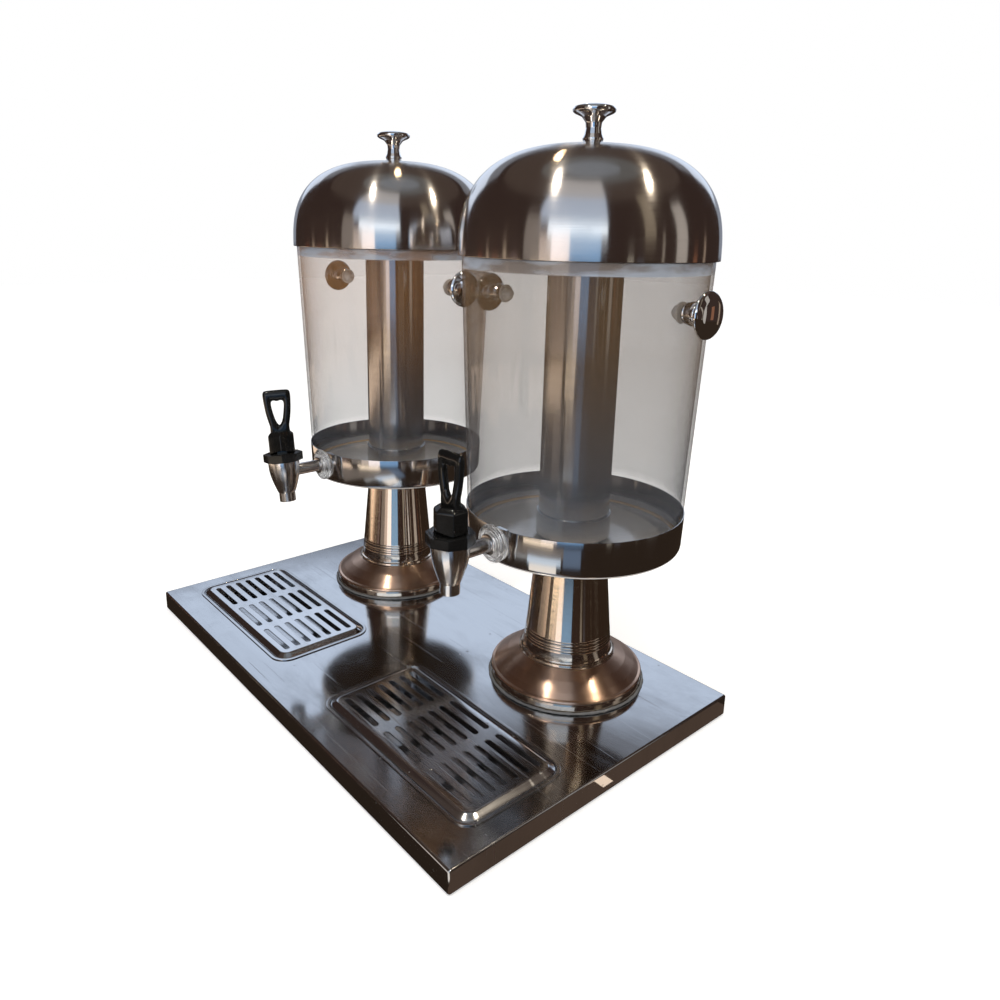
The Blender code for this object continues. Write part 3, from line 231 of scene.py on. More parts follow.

# %% [markdown]
# ## The steel finishes
# Spun pieces are sanded on the lathe, so their fine grooves run round the axis, and a highlight on them spreads
# into a streak up and down. The grooves come from a noise that is read on a circle: it hardly changes round the
# axis and changes quickly along the wall. Anisotropy on the shader's own socket gives the long streaks. The foot of
# a pedestal is more satin than its cone and carries a painted copper reflection of the brown room, scuffs break
# up the highlights, and water leaves a film in the pans.


# %% Spun steel
def spun_steel(name, centre, colour, satin, groove=900.0, depth=0.000005, spread=0.14,
               dull_below=None, filmed=None):
    """Steel with fine grooves round an upright axis and smudges; its foot can be dull with a painted copper
    reflection, its inside filmed.
    """
    made = Recipe(name, Metallic=1.0, Anisotropic=0.94, Anisotropic_Rotation=0.25)
    x, y, z = made.axes(made.place(centre))
    radius = (x * x + y * y) ** 0.5 + 0.0001
    circle = {0: x / radius * 0.8, 1: y / radius * 0.8, 2: (z - radius) * groove}
    grooves = made.noise(made.node("ShaderNodeCombineXYZ", None, circle), detail=3.0, roughness=0.7)
    marks = made.span(made.noise(made.place(centre, (14, 14, 9)), detail=4.0), 0.52, 0.74)
    shade = made.mix(0.25 * grooves + 0.6 * marks, colour, darker(colour, 0.86))
    gloss = satin + 0.06 * marks
    if dull_below:
        short = {0: x / radius * 11.0, 1: y / radius * 11.0, 2: z * 420.0}
        scuffs = made.span(made.noise(made.node("ShaderNodeCombineXYZ", None, short), detail=2.0), 0.58, 0.66)
        flare = made.span(z, dull_below - 0.001, dull_below, 1.0, 0.0)
        flare = flare * made.span(z, dull_below - 0.0215, dull_below - 0.0205)
        # The flare's copper colour is a painted reflection of the reddish-brown room; the steel there is neutral.
        shade = made.mix(flare, shade, (0.78, 0.54, 0.40))
        gloss = gloss + 0.05 * scuffs * (1.0 - flare) + 0.24 * flare
        grooves = grooves * (1.0 - 0.7 * flare)
    if filmed:
        inside = made.span(radius, filmed - 0.0004, filmed - 0.0002, 1.0, 0.0)
        inside = inside * made.span(z, PAN_FOOT + 0.0004, PAN_FOOT + 0.0006)
        shade = made.mix(inside, shade, (0.86, 0.82, 0.79))
        made.shade(Metallic=1.0 - 0.80 * inside)
    made.shade(Base_Color=shade, Roughness=gloss + spread * (grooves - 0.5))
    made.bump(grooves, depth, 0.35)
    return made.material


def for_both(kind, *recipe, **extra):
    """The same spun finish for both dispensers, each with its grooves round its own axis."""
    return {side: spun_steel(f"{side}_{kind}", (sign * TANK_X, TANK_Y, 0), *recipe, **extra)
            for side, sign in SIDES.items()}


dome_steel = for_both("dome_steel", (0.76, 0.71, 0.67), 0.15)
print("spun steel for", list(dome_steel))

# %% Other steels of the stand
pan_steel = for_both("pan_steel", (0.70, 0.68, 0.66), 0.10, spread=0.07,
                     filmed=tank_radius(PAN_FOOT) + 0.0012 * ROUND)
cone_steel = for_both("cone_steel", (0.84, 0.72, 0.60), 0.08, 420.0, 0.00001, spread=0.08,
                      dull_below=BASE_TOP + 0.031)
tube_steel = for_both("tube_steel", (0.74, 0.71, 0.68), 0.12, 300.0)
print("steels of the stand:", len(pan_steel) + len(cone_steel) + len(tube_steel))


# %% [markdown]
# ## Rolled sheet
# The base is folded from rolled sheet. It is nearly a mirror, with a faint grain along its length, a haze of
# scratches in all directions from wiping, dried drops and darker stains. Sheet is never quite flat, so a slow
# bump bends its reflections a little.

# %% Rolled sheet steel
def sheet_steel(name, colour, satin):
    made = Recipe(name, Metallic=1.0, Anisotropic=0.2)
    grain = made.noise((6, 900, 900), detail=3.0, roughness=0.7)
    haze = made.noise((9, 9, 9), detail=5.0, roughness=0.6)
    stains = made.span(made.noise(made.place((0.1, 0.3, 0), (4, 6, 4)), detail=7.0, roughness=0.68), 0.42, 0.66)
    wiped = made.span(made.noise(made.place((0.4, 0.1, 0), (4, 12, 4)), 5.0, 0.6, distortion=2.5), 0.46, 0.68)
    drops = made.node("ShaderNodeTexVoronoi", {"feature": "F1"}, {"Vector": made.place(), "Scale": 70.0})
    specks = made.span(drops, 0.05, 0.12, 1.0, 0.0) * made.span(made.noise((60, 60, 60), detail=0.0), 0.60, 0.64)
    turns = enumerate(((0.4, 260), (1.3, 300), (2.2, 240), (2.9, 280)))
    layers = [((0.07 * number, 0.05, 0), (0, 0, angle), (5, size, 1)) for number, (angle, size) in turns]
    scratches = made.scratches(layers, 0.70, 0.735)
    tarnish = 0.2 * grain + 0.32 * stains + 0.12 * wiped + 0.5 * specks
    made.shade(Base_Color=made.mix(tarnish, colour, darker(colour, 0.62)))
    made.shade(Roughness=satin + 0.08 * haze + 0.06 * stains + 0.05 * wiped + 0.20 * specks + 0.10 * scratches)
    wave = made.noise((5, 5, 5), detail=1.0)
    made.bump(wave * 30.0 + grain * 0.4 + scratches, 0.00001, 0.3)
    return made.material


base_steel = sheet_steel("base_steel", (0.62, 0.625, 0.635), 0.05)
tray_steel = sheet_steel("tray_steel", (0.62, 0.62, 0.63), 0.09)
grille_steel = sheet_steel("grille_steel", (0.70, 0.70, 0.71), 0.07)
print("sheet steel ready")


# %% [markdown]
# ## Chrome, clear plastic, black plastic and rubber
# Chrome is a thin bright mirror with finger marks. The tanks are clear polycarbonate, and the smoky-looking veil
# on them is a painted view of the room behind, in its own colour on each tank. A refracting wall would hide from
# the steel inside what it reflects, so the wall is made see-through with Alpha instead: thin where we look straight
# through it, denser at its edges, pale along the band at the rim with a painted reflection of the lid's ring, and
# with a painted warm highlight line in the corner of the floor. The levers and nuts are glossy black mouldings,
# and the tap's washers are cloudy clear silicone.

# %% Chrome and plain metals
def bright_metal(name, colour, satin, smeared=0.12, **constants):
    made = Recipe(name, **{"Metallic": 1.0, **constants})
    marks = made.noise((55, 55, 55), detail=4.0)
    smears = made.span(marks, 0.5, 0.75)
    made.shade(Base_Color=made.mix(0.5 * smears, colour, darker(colour, 0.8)))
    made.shade(Roughness=satin + smeared * smears)
    made.bump(marks, 0.00003, 0.2)
    return made.material


chrome = bright_metal("chrome", (0.90, 0.89, 0.88), 0.025, 0.05)
tap_chrome = bright_metal("tap_chrome", (0.86, 0.84, 0.82), 0.17, 0.05, Anisotropic=0.9, Anisotropic_Rotation=0.25)
dull_nickel = bright_metal("dull_nickel", (0.86, 0.85, 0.82), 0.25, Metallic=0.25)
zinc = bright_metal("zinc", (0.52, 0.52, 0.53), 0.30)


# %% Cloudy clear silicone
cloudy = Recipe("clear_rubber", Metallic=0.0, IOR=1.41, Transmission_Weight=0.95)
wear = cloudy.noise((8, 8, 60), detail=5.0, roughness=0.7)
clear = (0.93, 0.93, 0.94)
cloudy.shade(Base_Color=cloudy.mix(cloudy.span(wear, 0.4, 0.7), clear, darker(clear, 0.94)))
cloudy.shade(Roughness=0.12 + 0.05 * cloudy.span(wear, 0.55, 0.8))
cloudy.bump(cloudy.noise((6, 6, 3), detail=1.0), 0.0004, 0.25)
clear_rubber = cloudy.material


# %% Tank plastic with a painted veil
def painted_veil_plastic(name, veil, density):
    """See-through plastic: its four skins add up to a veil that paints the room behind, darker towards the bottom,
    with a painted reflection band of the lid's ring and a painted highlight line in the floor's corner.
    """
    made = Recipe(name, Metallic=0.0, IOR=2.0)
    facing = made.node("ShaderNodeLayerWeight", None, {"Blend": 0.5}, output=1)
    haze = made.noise((7, 7, 18), detail=5.0, roughness=0.6)
    height = made.axes(made.place((0, 0, PAN_RIM)))[2]
    band = made.span(height, TANK_RIM - PAN_RIM - 0.0112, TANK_RIM - PAN_RIM - 0.0100)
    layers = [((0.03 * number, 0, 0), (turn, 0.3, turn), (6, 150, 6)) for number, turn in enumerate((0.5, 1.9))]
    scratches = made.scratches(layers, 0.72, 0.75)
    # The veil colour, darker towards the bottom, is a painted view of the room seen through the clear wall.
    lower = made.mix(made.span(height, 0.0, 0.20), (0.13, 0.14, 0.16), veil)
    # The pale band at the rim is a painted reflection of the lid's ring, brighter and darker in patches round the
    # tank.
    painted_ring_glints = made.span(made.noise((16, 16, 60), detail=3.0), 0.36, 0.56, 0.25, 1.0)
    shade = made.mix(band * painted_ring_glints, lower, (0.52, 0.56, 0.63))
    above = made.span(height, -0.006, 0.012)
    # A thin line in the corner of the floor is a painted warm highlight, made denser and gold.
    level = made.span(height, -0.0292, -0.0284) * made.span(height, -0.0278, -0.0268, 1.0, 0.0)
    smoke = 0.03 + above * (density - 0.03) + 0.60 * level
    made.shade(Alpha=smoke + 0.34 * band + 0.03 * haze + 0.03 * scratches + 0.45 * above * facing ** 3.0)
    made.shade(Base_Color=made.mix(level, shade, (0.95, 0.62, 0.28)))
    made.shade(Roughness=0.05 + 0.06 * haze + 0.10 * scratches)
    made.bump(made.noise((6, 6, 3), detail=1.0), 0.0004, 0.25)
    return made.material


# Each tank gets its own veil colour and density, painting the room that is seen behind it.
tank_plastic = {"right": painted_veil_plastic("near_tank_plastic", (0.19, 0.12, 0.065), 0.222),
                "left": painted_veil_plastic("far_tank_plastic", (0.40, 0.20, 0.08), 0.14)}


# %% Mouldings
def moulding(name, colour, satin, texture=0.00002, **constants):
    made = Recipe(name, Metallic=0.0, **constants)
    fine = made.noise((400, 400, 400), detail=3.0)
    wide = made.noise((30, 30, 30), detail=3.0)
    light = tuple(min(1.0, value * 1.5 + 0.004) for value in colour)
    made.shade(Base_Color=made.mix(made.span(wide, 0.45, 0.8), colour, light))
    made.shade(Roughness=satin + 0.12 * made.span(wide, 0.4, 0.7) + 0.04 * fine)
    made.bump(fine, texture, 0.4)
    return made.material


black_plastic = moulding("black_plastic", (0.006, 0.006, 0.006), 0.06, Specular_IOR_Level=0.45)
black_rubber = moulding("black_rubber", (0.020, 0.020, 0.020), 0.60, 0.00008)
white_silicone = moulding("white_silicone", (0.80, 0.80, 0.78), 0.40)
sealant = moulding("sealant", (0.14, 0.14, 0.14), 0.14, 0.0001)
print("finishes:", len(bpy.data.materials))

# %% [markdown]
# ## Workshop helpers
# An operator acts on everything that is selected, so each step starts by letting go of all that was selected
# before. A turned piece is drawn as half of its section, one vertex extruded from point to point, and the line
# is then spun round the axis, as on a lathe. Its wall comes from Solidify and its worn edges from Bevel.


# %% Selecting and editing
def close_up():
    bpy.ops.object.mode_set(mode="OBJECT")


def let_go():
    if bpy.context.object and bpy.context.object.mode == "EDIT":
        close_up()
    bpy.ops.object.select_all(action="DESELECT")


def pick(piece):
    let_go()
    piece.select_set(True)
    bpy.context.view_layer.objects.active = piece


def select_all():
    bpy.ops.mesh.select_all(action="SELECT")


def edit(piece, kind="VERT"):
    """Opens a piece for editing with all of it selected."""
    pick(piece)
    bpy.ops.object.mode_set(mode="EDIT")
    bpy.ops.mesh.select_mode(type=kind)
    select_all()


def choose(piece, kind, wanted):
    """Opens a piece for editing with only the faces or edges selected that are wanted."""
    edit(piece, kind)
    bpy.ops.mesh.select_all(action="DESELECT")
    close_up()
    for item in piece.data.polygons if kind == "FACE" else piece.data.edges:
        item.select = wanted(item)
    bpy.ops.object.mode_set(mode="EDIT")


# %% Starting shapes
def prism(sides, radius, depth, place=(0, 0, 0)):
    """An upright prism, or a cylinder when it has many sides."""
    let_go()
    bpy.ops.mesh.primitive_cylinder_add(vertices=sides, radius=radius, depth=depth, location=place)
    return put(bpy.context.object)


def block(size, place):
    let_go()
    bpy.ops.mesh.primitive_cube_add(size=1, location=place)
    bpy.context.object.scale = size
    return put(bpy.context.object)


def put(piece, matrix=Matrix.Identity(4)):
    """Moves a piece to its place and leaves its object at the origin."""
    pick(piece)
    piece.matrix_world = matrix @ piece.matrix_world
    bpy.ops.object.transform_apply(location=True, rotation=True, scale=True)
    return piece


def one_vertex(name, place):
    """A mesh of one vertex, open for editing, from which a line is drawn."""
    let_go()
    bpy.ops.mesh.primitive_plane_add(size=0.01, location=place)
    piece = bpy.context.object
    piece.name = piece.data.name = name
    edit(put(piece))
    bpy.ops.mesh.merge(type="CENTER")
    return piece


def extrude(step):
    bpy.ops.mesh.extrude_region_move(TRANSFORM_OT_translate={"value": step})


# %% Rounded corners and turned pieces
def raised(outline, up_by):
    """An outline lifted to the height that it was measured from."""
    return [(point[0], up_by + point[1], *point[2:]) for point in outline]


def rounded(outline, steps=5):
    """Outline points (r, z) or (r, z, fillet), with an arc in place of each corner that has a fillet."""
    points = []
    for index, point in enumerate(outline):
        here = Vector(point[:2])
        if len(point) < 3:
            points.append(tuple(here))
            continue
        before, after = Vector(outline[index - 1][:2]), Vector(outline[index + 1][:2])
        way_in, way_out = (before - here).normalized(), (after - here).normalized()
        half = way_in.angle(way_out) / 2
        reach = min(point[2] / math.tan(half), 0.48 * (before - here).length, 0.48 * (after - here).length)
        start, end = here + way_in * reach, here + way_out * reach
        for step in range(steps + 1):
            share = step / steps
            points.append(tuple(start * (1 - share) ** 2 + here * 2 * share * (1 - share) + end * share ** 2))
    return points


def turned(name, outline, spot=(0, 0), steps=96, wall=0.0, edge=0.0, smooth=35):
    """Draws half a section from vertex to vertex and spins it round the upright line at spot."""
    points = rounded(outline)
    piece = one_vertex(name, (spot[0] + points[0][0], spot[1], points[0][1]))
    for (radius, height), (next_radius, next_height) in zip(points, points[1:]):
        extrude((next_radius - radius, 0, next_height - height))
    select_all()
    bpy.ops.mesh.spin(steps=steps, angle=2 * math.pi, center=(spot[0], spot[1], 0), axis=(0, 0, 1))
    select_all()
    bpy.ops.mesh.remove_doubles(threshold=0.00001)
    bpy.ops.mesh.normals_make_consistent(inside=False)
    close_up()
    return finished(piece, wall, edge, smooth)


def modified(piece, kind, **settings):
    """Adds a modifier, sets it and applies it."""
    pick(piece)
    modifier = piece.modifiers.new(kind, kind)
    for name, value in settings.items():
        setattr(modifier, name, value)
    bpy.ops.object.modifier_apply(modifier=kind)
    return piece


def finished(piece, wall=0.0, edge=0.0, smooth=35, flat=False):
    """Gives a skin its wall on the inner side, wears its edges and shades it; flat faces can be kept flat."""
    if wall:
        modified(piece, "SOLIDIFY", thickness=wall, offset=-1, use_even_offset=True)
    if edge:
        modified(piece, "BEVEL", width=edge, segments=2, angle_limit=math.radians(30))
    pick(piece)
    bpy.ops.object.shade_smooth_by_angle(angle=math.radians(smooth))
    return modified(piece, "WEIGHTED_NORMAL", keep_sharp=True) if flat else piece


# %% Cutting, joining, copying and handing over
def carve(piece, tool, operation="DIFFERENCE"):
    """Cuts a tool out of a piece, or joins it on, and clears the tool away."""
    modified(piece, "BOOLEAN", operation=operation, object=tool, solver="MANIFOLD")
    bpy.data.objects.remove(tool)
    return piece


def drill(piece, way, radius, height, low, high):
    """Drills a hole along X or Y through the near tank's axis at a height."""
    lie = Matrix.Rotation(math.pi / 2, 4, "Y" if way == "X" else "X")
    middle = (low + high) / 2
    shift = (middle, 0, 0) if way == "X" else (0, middle, 0)
    place = Matrix.Translation(Vector((TANK_X, TANK_Y, height)) + Vector(shift))
    carve(piece, put(prism(48, radius, high - low), place @ lie))


def copied(piece, name, matrix):
    pick(piece)
    bpy.ops.object.duplicate(linked=False)
    made = bpy.context.object
    made.name = made.data.name = name
    return put(made, matrix)


def hand_over(piece, body, look, node):
    """Gives a piece its finish and its body, and hides the node that it stands for."""
    piece.data.materials.clear()
    piece.data.materials.append(look)
    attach(piece, body)
    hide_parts(node)
    print(piece.name, len(piece.data.polygons), "faces on", body)


ACROSS = Matrix.Translation((-2 * TANK_X, 0, 0))


def both(name, piece, looks, node, part="stand"):
    """Hands over the near piece and a copy of it for the far dispenser."""
    far = copied(piece, "left_" + name, ACROSS)
    piece.name = piece.data.name = "right_" + name
    for side, made in (("right", piece), ("left", far)):
        look = looks[side] if isinstance(looks, dict) else looks
        body = part if part == "stand" else side + "_" + part
        hand_over(made, body, look, side + "_" + node)


# %% [markdown]
# ## The dome lids
# Each lid is spun from one disc: a squarish dome that drops almost upright to its rim, with a ring pressed in
# below that locates it inside the tank. The section is the curve of a superellipse, whose power sets how square
# the shoulder is. A thin rolled rim at the bottom catches a bright line.

# %% Dome lids
LID_RIM = TANK_RIM + 0.0003
LID_RADIUS = 0.1176 * ROUND
CROWN = 0.096


def dome_curve(count, power=2.7):
    curve = []
    for step in range(count + 1):
        angle = step / count * math.pi / 2
        out = LID_RADIUS * math.sin(angle) ** (2 / power)
        up_by = CROWN * max(math.cos(angle), 0.0) ** (2 / power)
        curve.append((out, LID_RIM + up_by))
    return curve


dome = dome_curve(40)[:-1]
dome += [(LID_RADIUS, LID_RIM + 0.006), (LID_RADIUS, LID_RIM, 0.0006), (0.1100 * ROUND, LID_RIM, 0.0006)]
dome += [(0.1096 * ROUND, LID_RIM - 0.0108)]
lid = turned("lid", dome, (TANK_X, TANK_Y), steps=128, wall=0.001, edge=0.0002)
both("dome", lid, dome_steel, "lid", part="lid")

# %% [markdown]
# ## Knobs of the lids
# A turned and chromed knob: a flat-topped disc with a rounded rim, a waist that curves in to the neck, and a
# flared foot on a thin pad. It is drawn as one section with fillets at its corners.

# %% Lid knobs
knob_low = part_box("right_lid_knob")[0].z
knob = [(0.0, 0.0320), (0.0120, 0.0316, 0.004), (0.0172, 0.0302, 0.002), (0.0188, 0.0284, 0.0016),
        (0.0186, 0.0262, 0.0014), (0.0168, 0.0248, 0.002), (0.0108, 0.0222, 0.004), (0.0072, 0.0176, 0.004),
        (0.0067, 0.0130, 0.003), (0.0076, 0.0082, 0.003), (0.0092, 0.0044, 0.0012), (0.0088, 0.0024, 0.0008),
        (0.0074, 0.0016, 0.0004), (0.0094, 0.0012, 0.0004), (0.0094, 0.0, 0.0002), (0.0, 0.0)]
knob = turned("knob", raised(knob, knob_low), (TANK_X, TANK_Y), steps=64)
both("knob", knob, chrome, "lid_knob", part="lid")

# %% [markdown]
# ## Tanks
# Each tank is one moulding with a tapered wall, a floor with rounded corners and a hole for the tap and for each
# knob's stud. It is a closed solid with a true wall, because each of its skins adds to the painted veil. Its floor
# is thin, and the shank's hole goes through the pan's wall as well.

# %% Tanks
WALL, FLOOR = 0.003, 0.002
SHANK_HOLE, SHANK_Z = 0.0071, 0.192
STUD_HOLE, STUD_Z = 0.0033, 0.402
tank_foot = tank_low.z
tank_floor = tank_foot + FLOOR
rim_radius, foot_radius = tank_radius(TANK_RIM), tank_radius(tank_foot)
tank_outline = [
    (rim_radius - WALL / 2, TANK_RIM), (rim_radius, TANK_RIM, 0.0008), (foot_radius, tank_foot, 0.005),
    (0.005, tank_foot), (0.005, tank_floor), (foot_radius - WALL, tank_floor, 0.003),
    (rim_radius - WALL, TANK_RIM, 0.0008), (rim_radius - WALL / 2, TANK_RIM),
]
tank = turned("tank", tank_outline, (TANK_X, TANK_Y), steps=128)
drill(tank, "Y", SHANK_HOLE, SHANK_Z, -0.13, -0.07)
drill(tank, "X", STUD_HOLE, STUD_Z, -0.13, 0.13)
both("clear_tank", finished(tank), tank_plastic, "tank")

# %% [markdown]
# ## Pans
# The pan is a shallow spun cup with a rounded corner. Its rim stands just outside the tank's wall.

# %% Pans
PAN_WALL = 0.0009


def pan_radius(z):
    return tank_radius(z) + (0.0003 + PAN_WALL) * ROUND


pan_outline = [(pan_radius(PAN_RIM), PAN_RIM), (pan_radius(PAN_FOOT), PAN_FOOT, 0.005), (0.005, PAN_FOOT)]
pan = turned("pan", pan_outline, (TANK_X, TANK_Y), steps=128, wall=PAN_WALL, edge=0.0002)
drill(pan, "Y", SHANK_HOLE, SHANK_Z, -0.13, -0.07)
both("pan_cup", finished(pan), pan_steel, "pan")

# %% [markdown]
# ## Pedestals
# A long cone stands on a flared foot. Where the two meet there is a small bright step, and the flare ends in a
# thin lip above an upright band. Fine rings are left near the bottom of the cone by the tool.

# %% Pedestals
stand_low, stand_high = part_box("right_pedestal")
CONE_TOP, CONE_FOOT, CONE_FOOT_UP = 0.0338, 0.0445, 0.0333
pedestal_outline = [(0.005, stand_high.z), (CONE_TOP, stand_high.z, 0.0012)]
cone_long = stand_high.z - stand_low.z - CONE_FOOT_UP
for ring_up in (0.0561, 0.0536, 0.0498, 0.0474, 0.0441):
    height = stand_low.z + ring_up
    radius = CONE_TOP + (CONE_FOOT - CONE_TOP) * (stand_high.z - height) / cone_long
    pedestal_outline += [(radius, height), (radius + 0.00022, height - 0.0005), (radius + 0.0001, height - 0.0010)]
pedestal_outline += raised([
    (CONE_FOOT, 0.0345, 0.0004), (0.0452, 0.0333, 0.0006), (0.0470, 0.0326, 0.0006), (0.0474, 0.0308, 0.0008),
    (0.0510, 0.0288, 0.004), (0.0600, 0.0236, 0.010), (0.0690, 0.0168, 0.008), (0.0738, 0.0124, 0.0008),
    (0.0762, 0.0118, 0.0008), (0.0770, 0.0104, 0.0006), (0.0762, 0.0088, 0.0006), (0.0766, 0.0070, 0.002),
    (0.0768, 0.0),
], stand_low.z)
pedestal = turned("pedestal", pedestal_outline, (TANK_X, TANK_Y), wall=0.0012)
both("cone_stand", pedestal, cone_steel, "pedestal")

# %% [markdown]
# ## Ice tubes and their bosses
# A polished tube for ice stands in a low boss on the tank's floor. Its rim is rolled into a small bead.

# %% Ice tubes
tube_low, tube_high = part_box("right_ice_tube")
tube_outline = [
    (0.0, tube_low.z + 0.0009), (0.0336, tube_low.z + 0.0009, 0.002), (0.0336, tube_high.z, 0.0008),
    (0.0353, tube_high.z, 0.0009), (0.0353, tube_high.z - 0.0019, 0.0009), (0.0345, tube_high.z - 0.0024),
    (0.0345, tube_low.z, 0.0015), (0.0, tube_low.z),
]
both("tube", turned("tube", tube_outline, (TANK_X, TANK_Y), steps=64), tube_steel, "ice_tube")
boss_low, boss_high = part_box("right_tube_collar")
boss_outline = [
    (0.0, boss_low.z + 0.008), (0.0348, boss_low.z + 0.008, 0.001), (0.0348, boss_high.z, 0.0005),
    (0.0362, boss_high.z, 0.0005), (0.0366, boss_low.z + 0.003, 0.001), (0.0366, tank_floor, 0.0005),
    (0.0043, tank_floor), (0.0043, boss_low.z + 0.006), (0.0, boss_low.z + 0.006),
]
both("tube_boss", turned("boss", boss_outline, (TANK_X, TANK_Y), steps=64), tube_steel,
     "tube_collar")

# %% [markdown]
# ## The folded base
# The base is one sheet folded down on four sides, with a cut-out for each tray. It starts as a plane at its real
# size. Its corners are rounded, it is extruded into a block whose upper edge is bevelled as the fold, and the
# face below is taken away. The sheet gets its wall, and the trays' openings are cut before its edges are worn.


# %% Rounded planes and stepped skins
def rounded_plane(name, low, high, corner, height, steps=8):
    """A flat sheet between two corners (x, y), with rounded corners."""
    let_go()
    middle = ((low[0] + high[0]) / 2, (low[1] + high[1]) / 2, height)
    bpy.ops.mesh.primitive_plane_add(size=1, location=middle)
    piece = bpy.context.object
    piece.name = piece.data.name = name
    piece.scale = (high[0] - low[0], high[1] - low[1], 1)
    bpy.ops.object.transform_apply(location=True, rotation=True, scale=True)
    edit(piece)
    bpy.ops.mesh.bevel(offset=corner, segments=steps, affect="VERTICES", profile=0.5)
    close_up()
    return piece


def pressed(piece, steps):
    """Presses a flat sheet inwards in steps of (inset, rise)."""
    edit(piece, "FACE")
    for inset, rise in steps:
        bpy.ops.mesh.inset(thickness=inset, depth=rise, use_boundary=True, use_even_offset=True)
    close_up()


def scored(piece, along_x, along_y):
    """Cuts new edges through a piece at places along X and Y, so that no face is left with a hole in it."""
    for place, way in [(x, (1, 0, 0)) for x in along_x] + [(y, (0, 1, 0)) for y in along_y]:
        edit(piece, "FACE")
        bpy.ops.mesh.bisect(plane_co=Vector(way) * place, plane_no=way)
    close_up()
    return piece


def drawn_out(piece, height):
    """Extrudes a flat sheet upwards into a closed block."""
    edit(piece, "FACE")
    extrude((0, 0, height))
    select_all()
    bpy.ops.mesh.normals_make_consistent(inside=False)
    close_up()
    return piece


# %% Base plate
base_low, base_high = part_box("base_plate")
tray_low, tray_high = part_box("right_drip_tray")
base = drawn_out(rounded_plane("folded_base", base_low, base_high, 0.002, base_low.z, 5), base_high.z - base_low.z)
choose(base, "EDGE", lambda edge: all(base.data.vertices[end].co.z > base_high.z - 1e-5 for end in edge.vertices))
bpy.ops.mesh.bevel(offset=0.0020, segments=5, affect="EDGES")
choose(base, "FACE", lambda face: face.normal.z < -0.9)
bpy.ops.mesh.delete(type="ONLY_FACE")
scored(base, (-TANK_X, 0, TANK_X), ((tray_low.y + tray_high.y) / 2, 0))
finished(base, wall=0.0012)
FLANGE = 0.0015
for side, sign in SIDES.items():
    shift = (sign - 1) * TANK_X
    low = (tray_low.x + FLANGE + shift, tray_low.y + FLANGE)
    high = (tray_high.x - FLANGE + shift, tray_high.y - FLANGE)
    carve(base, drawn_out(rounded_plane("opening", low, high, 0.0165, base_high.z - 0.006), 0.012))
finished(base, edge=0.0002, flat=True)
hand_over(base, "stand", base_steel, "base_plate")

# %% [markdown]
# ## Drip trays and their grilles
# Each tray is pressed from thin sheet: a flange that rests on the base, a small step down to a ledge, and the
# well. The grille lies on the ledge. It is a raised plate with a sloping border, and three groups of seven
# slots are punched through it. Each slot is made in its place, and all of them are joined and cut in a single go.

# %% Drip trays
tray = rounded_plane("tray", tray_low, tray_high, 0.0185, tray_high.z)
pressed(tray, [(0.0032, 0), (0.0008, -0.0020), (0.0032, 0), (0.0012, -0.0008), (0.0010, -0.0090),
               (0.0016, -0.0016), (0.0030, -0.0007)])
finished(tray, wall=0.0007, edge=0.0003, flat=True)
both("tray_well", tray, tray_steel, "drip_tray", part="tray")

# %% Grilles
grille_low, grille_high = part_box("right_drip_grille")
border_z = grille_high.z - 0.0034
grille = rounded_plane("grille", grille_low, grille_high, 0.014, border_z)
pressed(grille, [(0.0010, 0.0002), (0.0036, 0.0020), (0.0009, 0.0008), (0.0016, 0.0004)])
SLOT_LONG, SLOT_WIDE = 0.0545, 0.0058
centre_x, centre_y = (grille_low.x + grille_high.x) / 2, (grille_low.y + grille_high.y) / 2
columns = [centre_x + group * 0.0663 for group in (-1, 0, 1)]
lines = [centre_y + row * 0.01260 for row in range(-3, 4)]
finished(scored(grille, columns, lines), wall=0.001)
slots = []
for x in columns:
    for y in lines:
        low, high = (x - SLOT_LONG / 2, y - SLOT_WIDE / 2), (x + SLOT_LONG / 2, y + SLOT_WIDE / 2)
        slots.append(drawn_out(rounded_plane("slot", low, high, 0.00275, border_z - 0.004, 6), 0.012))
pick(slots[0])
for slot in slots:
    slot.select_set(True)
bpy.ops.object.join()
carve(grille, slots[0])
finished(grille, edge=0.0003, flat=True)
both("slotted_grille", grille, grille_steel, "drip_grille", part="grille")

# %% [markdown]
# ## Sealant beads
# A bead of glossy grey sealant was laid by hand round each pedestal's foot. It is drawn as a small ring and
# then roughened: every vertex is pushed a little in a repeatable random way and the ring is smoothed once.

# %% Sealant beads
ring = raised([(0.0766, 0.0003), (0.0770, 0.0026), (0.0780, 0.0027), (0.0791, 0.0019), (0.0798, 0.0008),
               (0.0795, 0.0003), (0.0766, 0.0003)], base_high.z)
for side, sign in SIDES.items():
    bead = turned("bead", ring, (sign * TANK_X, TANK_Y), steps=180, smooth=80)
    edit(bead)
    bpy.ops.transform.vertex_random(offset=0.0011, seed=11 if sign > 0 else 4)
    bpy.ops.mesh.vertices_smooth(factor=0.5, repeat=1)
    close_up()
    for vertex in bead.data.vertices:
        vertex.co.z = max(vertex.co.z, base_high.z + 0.0002)
    bead.name = bead.data.name = side + "_sealant"
    hand_over(bead, "stand", sealant, side + "_foot_bead")

# %% [markdown]
# ## The taps
# A tap is made upright round its own axis, with the mouth of the nozzle at the origin, and is then carried to
# its place. The left one was screwed in a little crooked, so it leans by 8 degrees about its shank. The black
# parts on top can turn: the levers point 2 and 61 degrees round. The body is a turned bowl joined to a turned
# shank that lies across it.

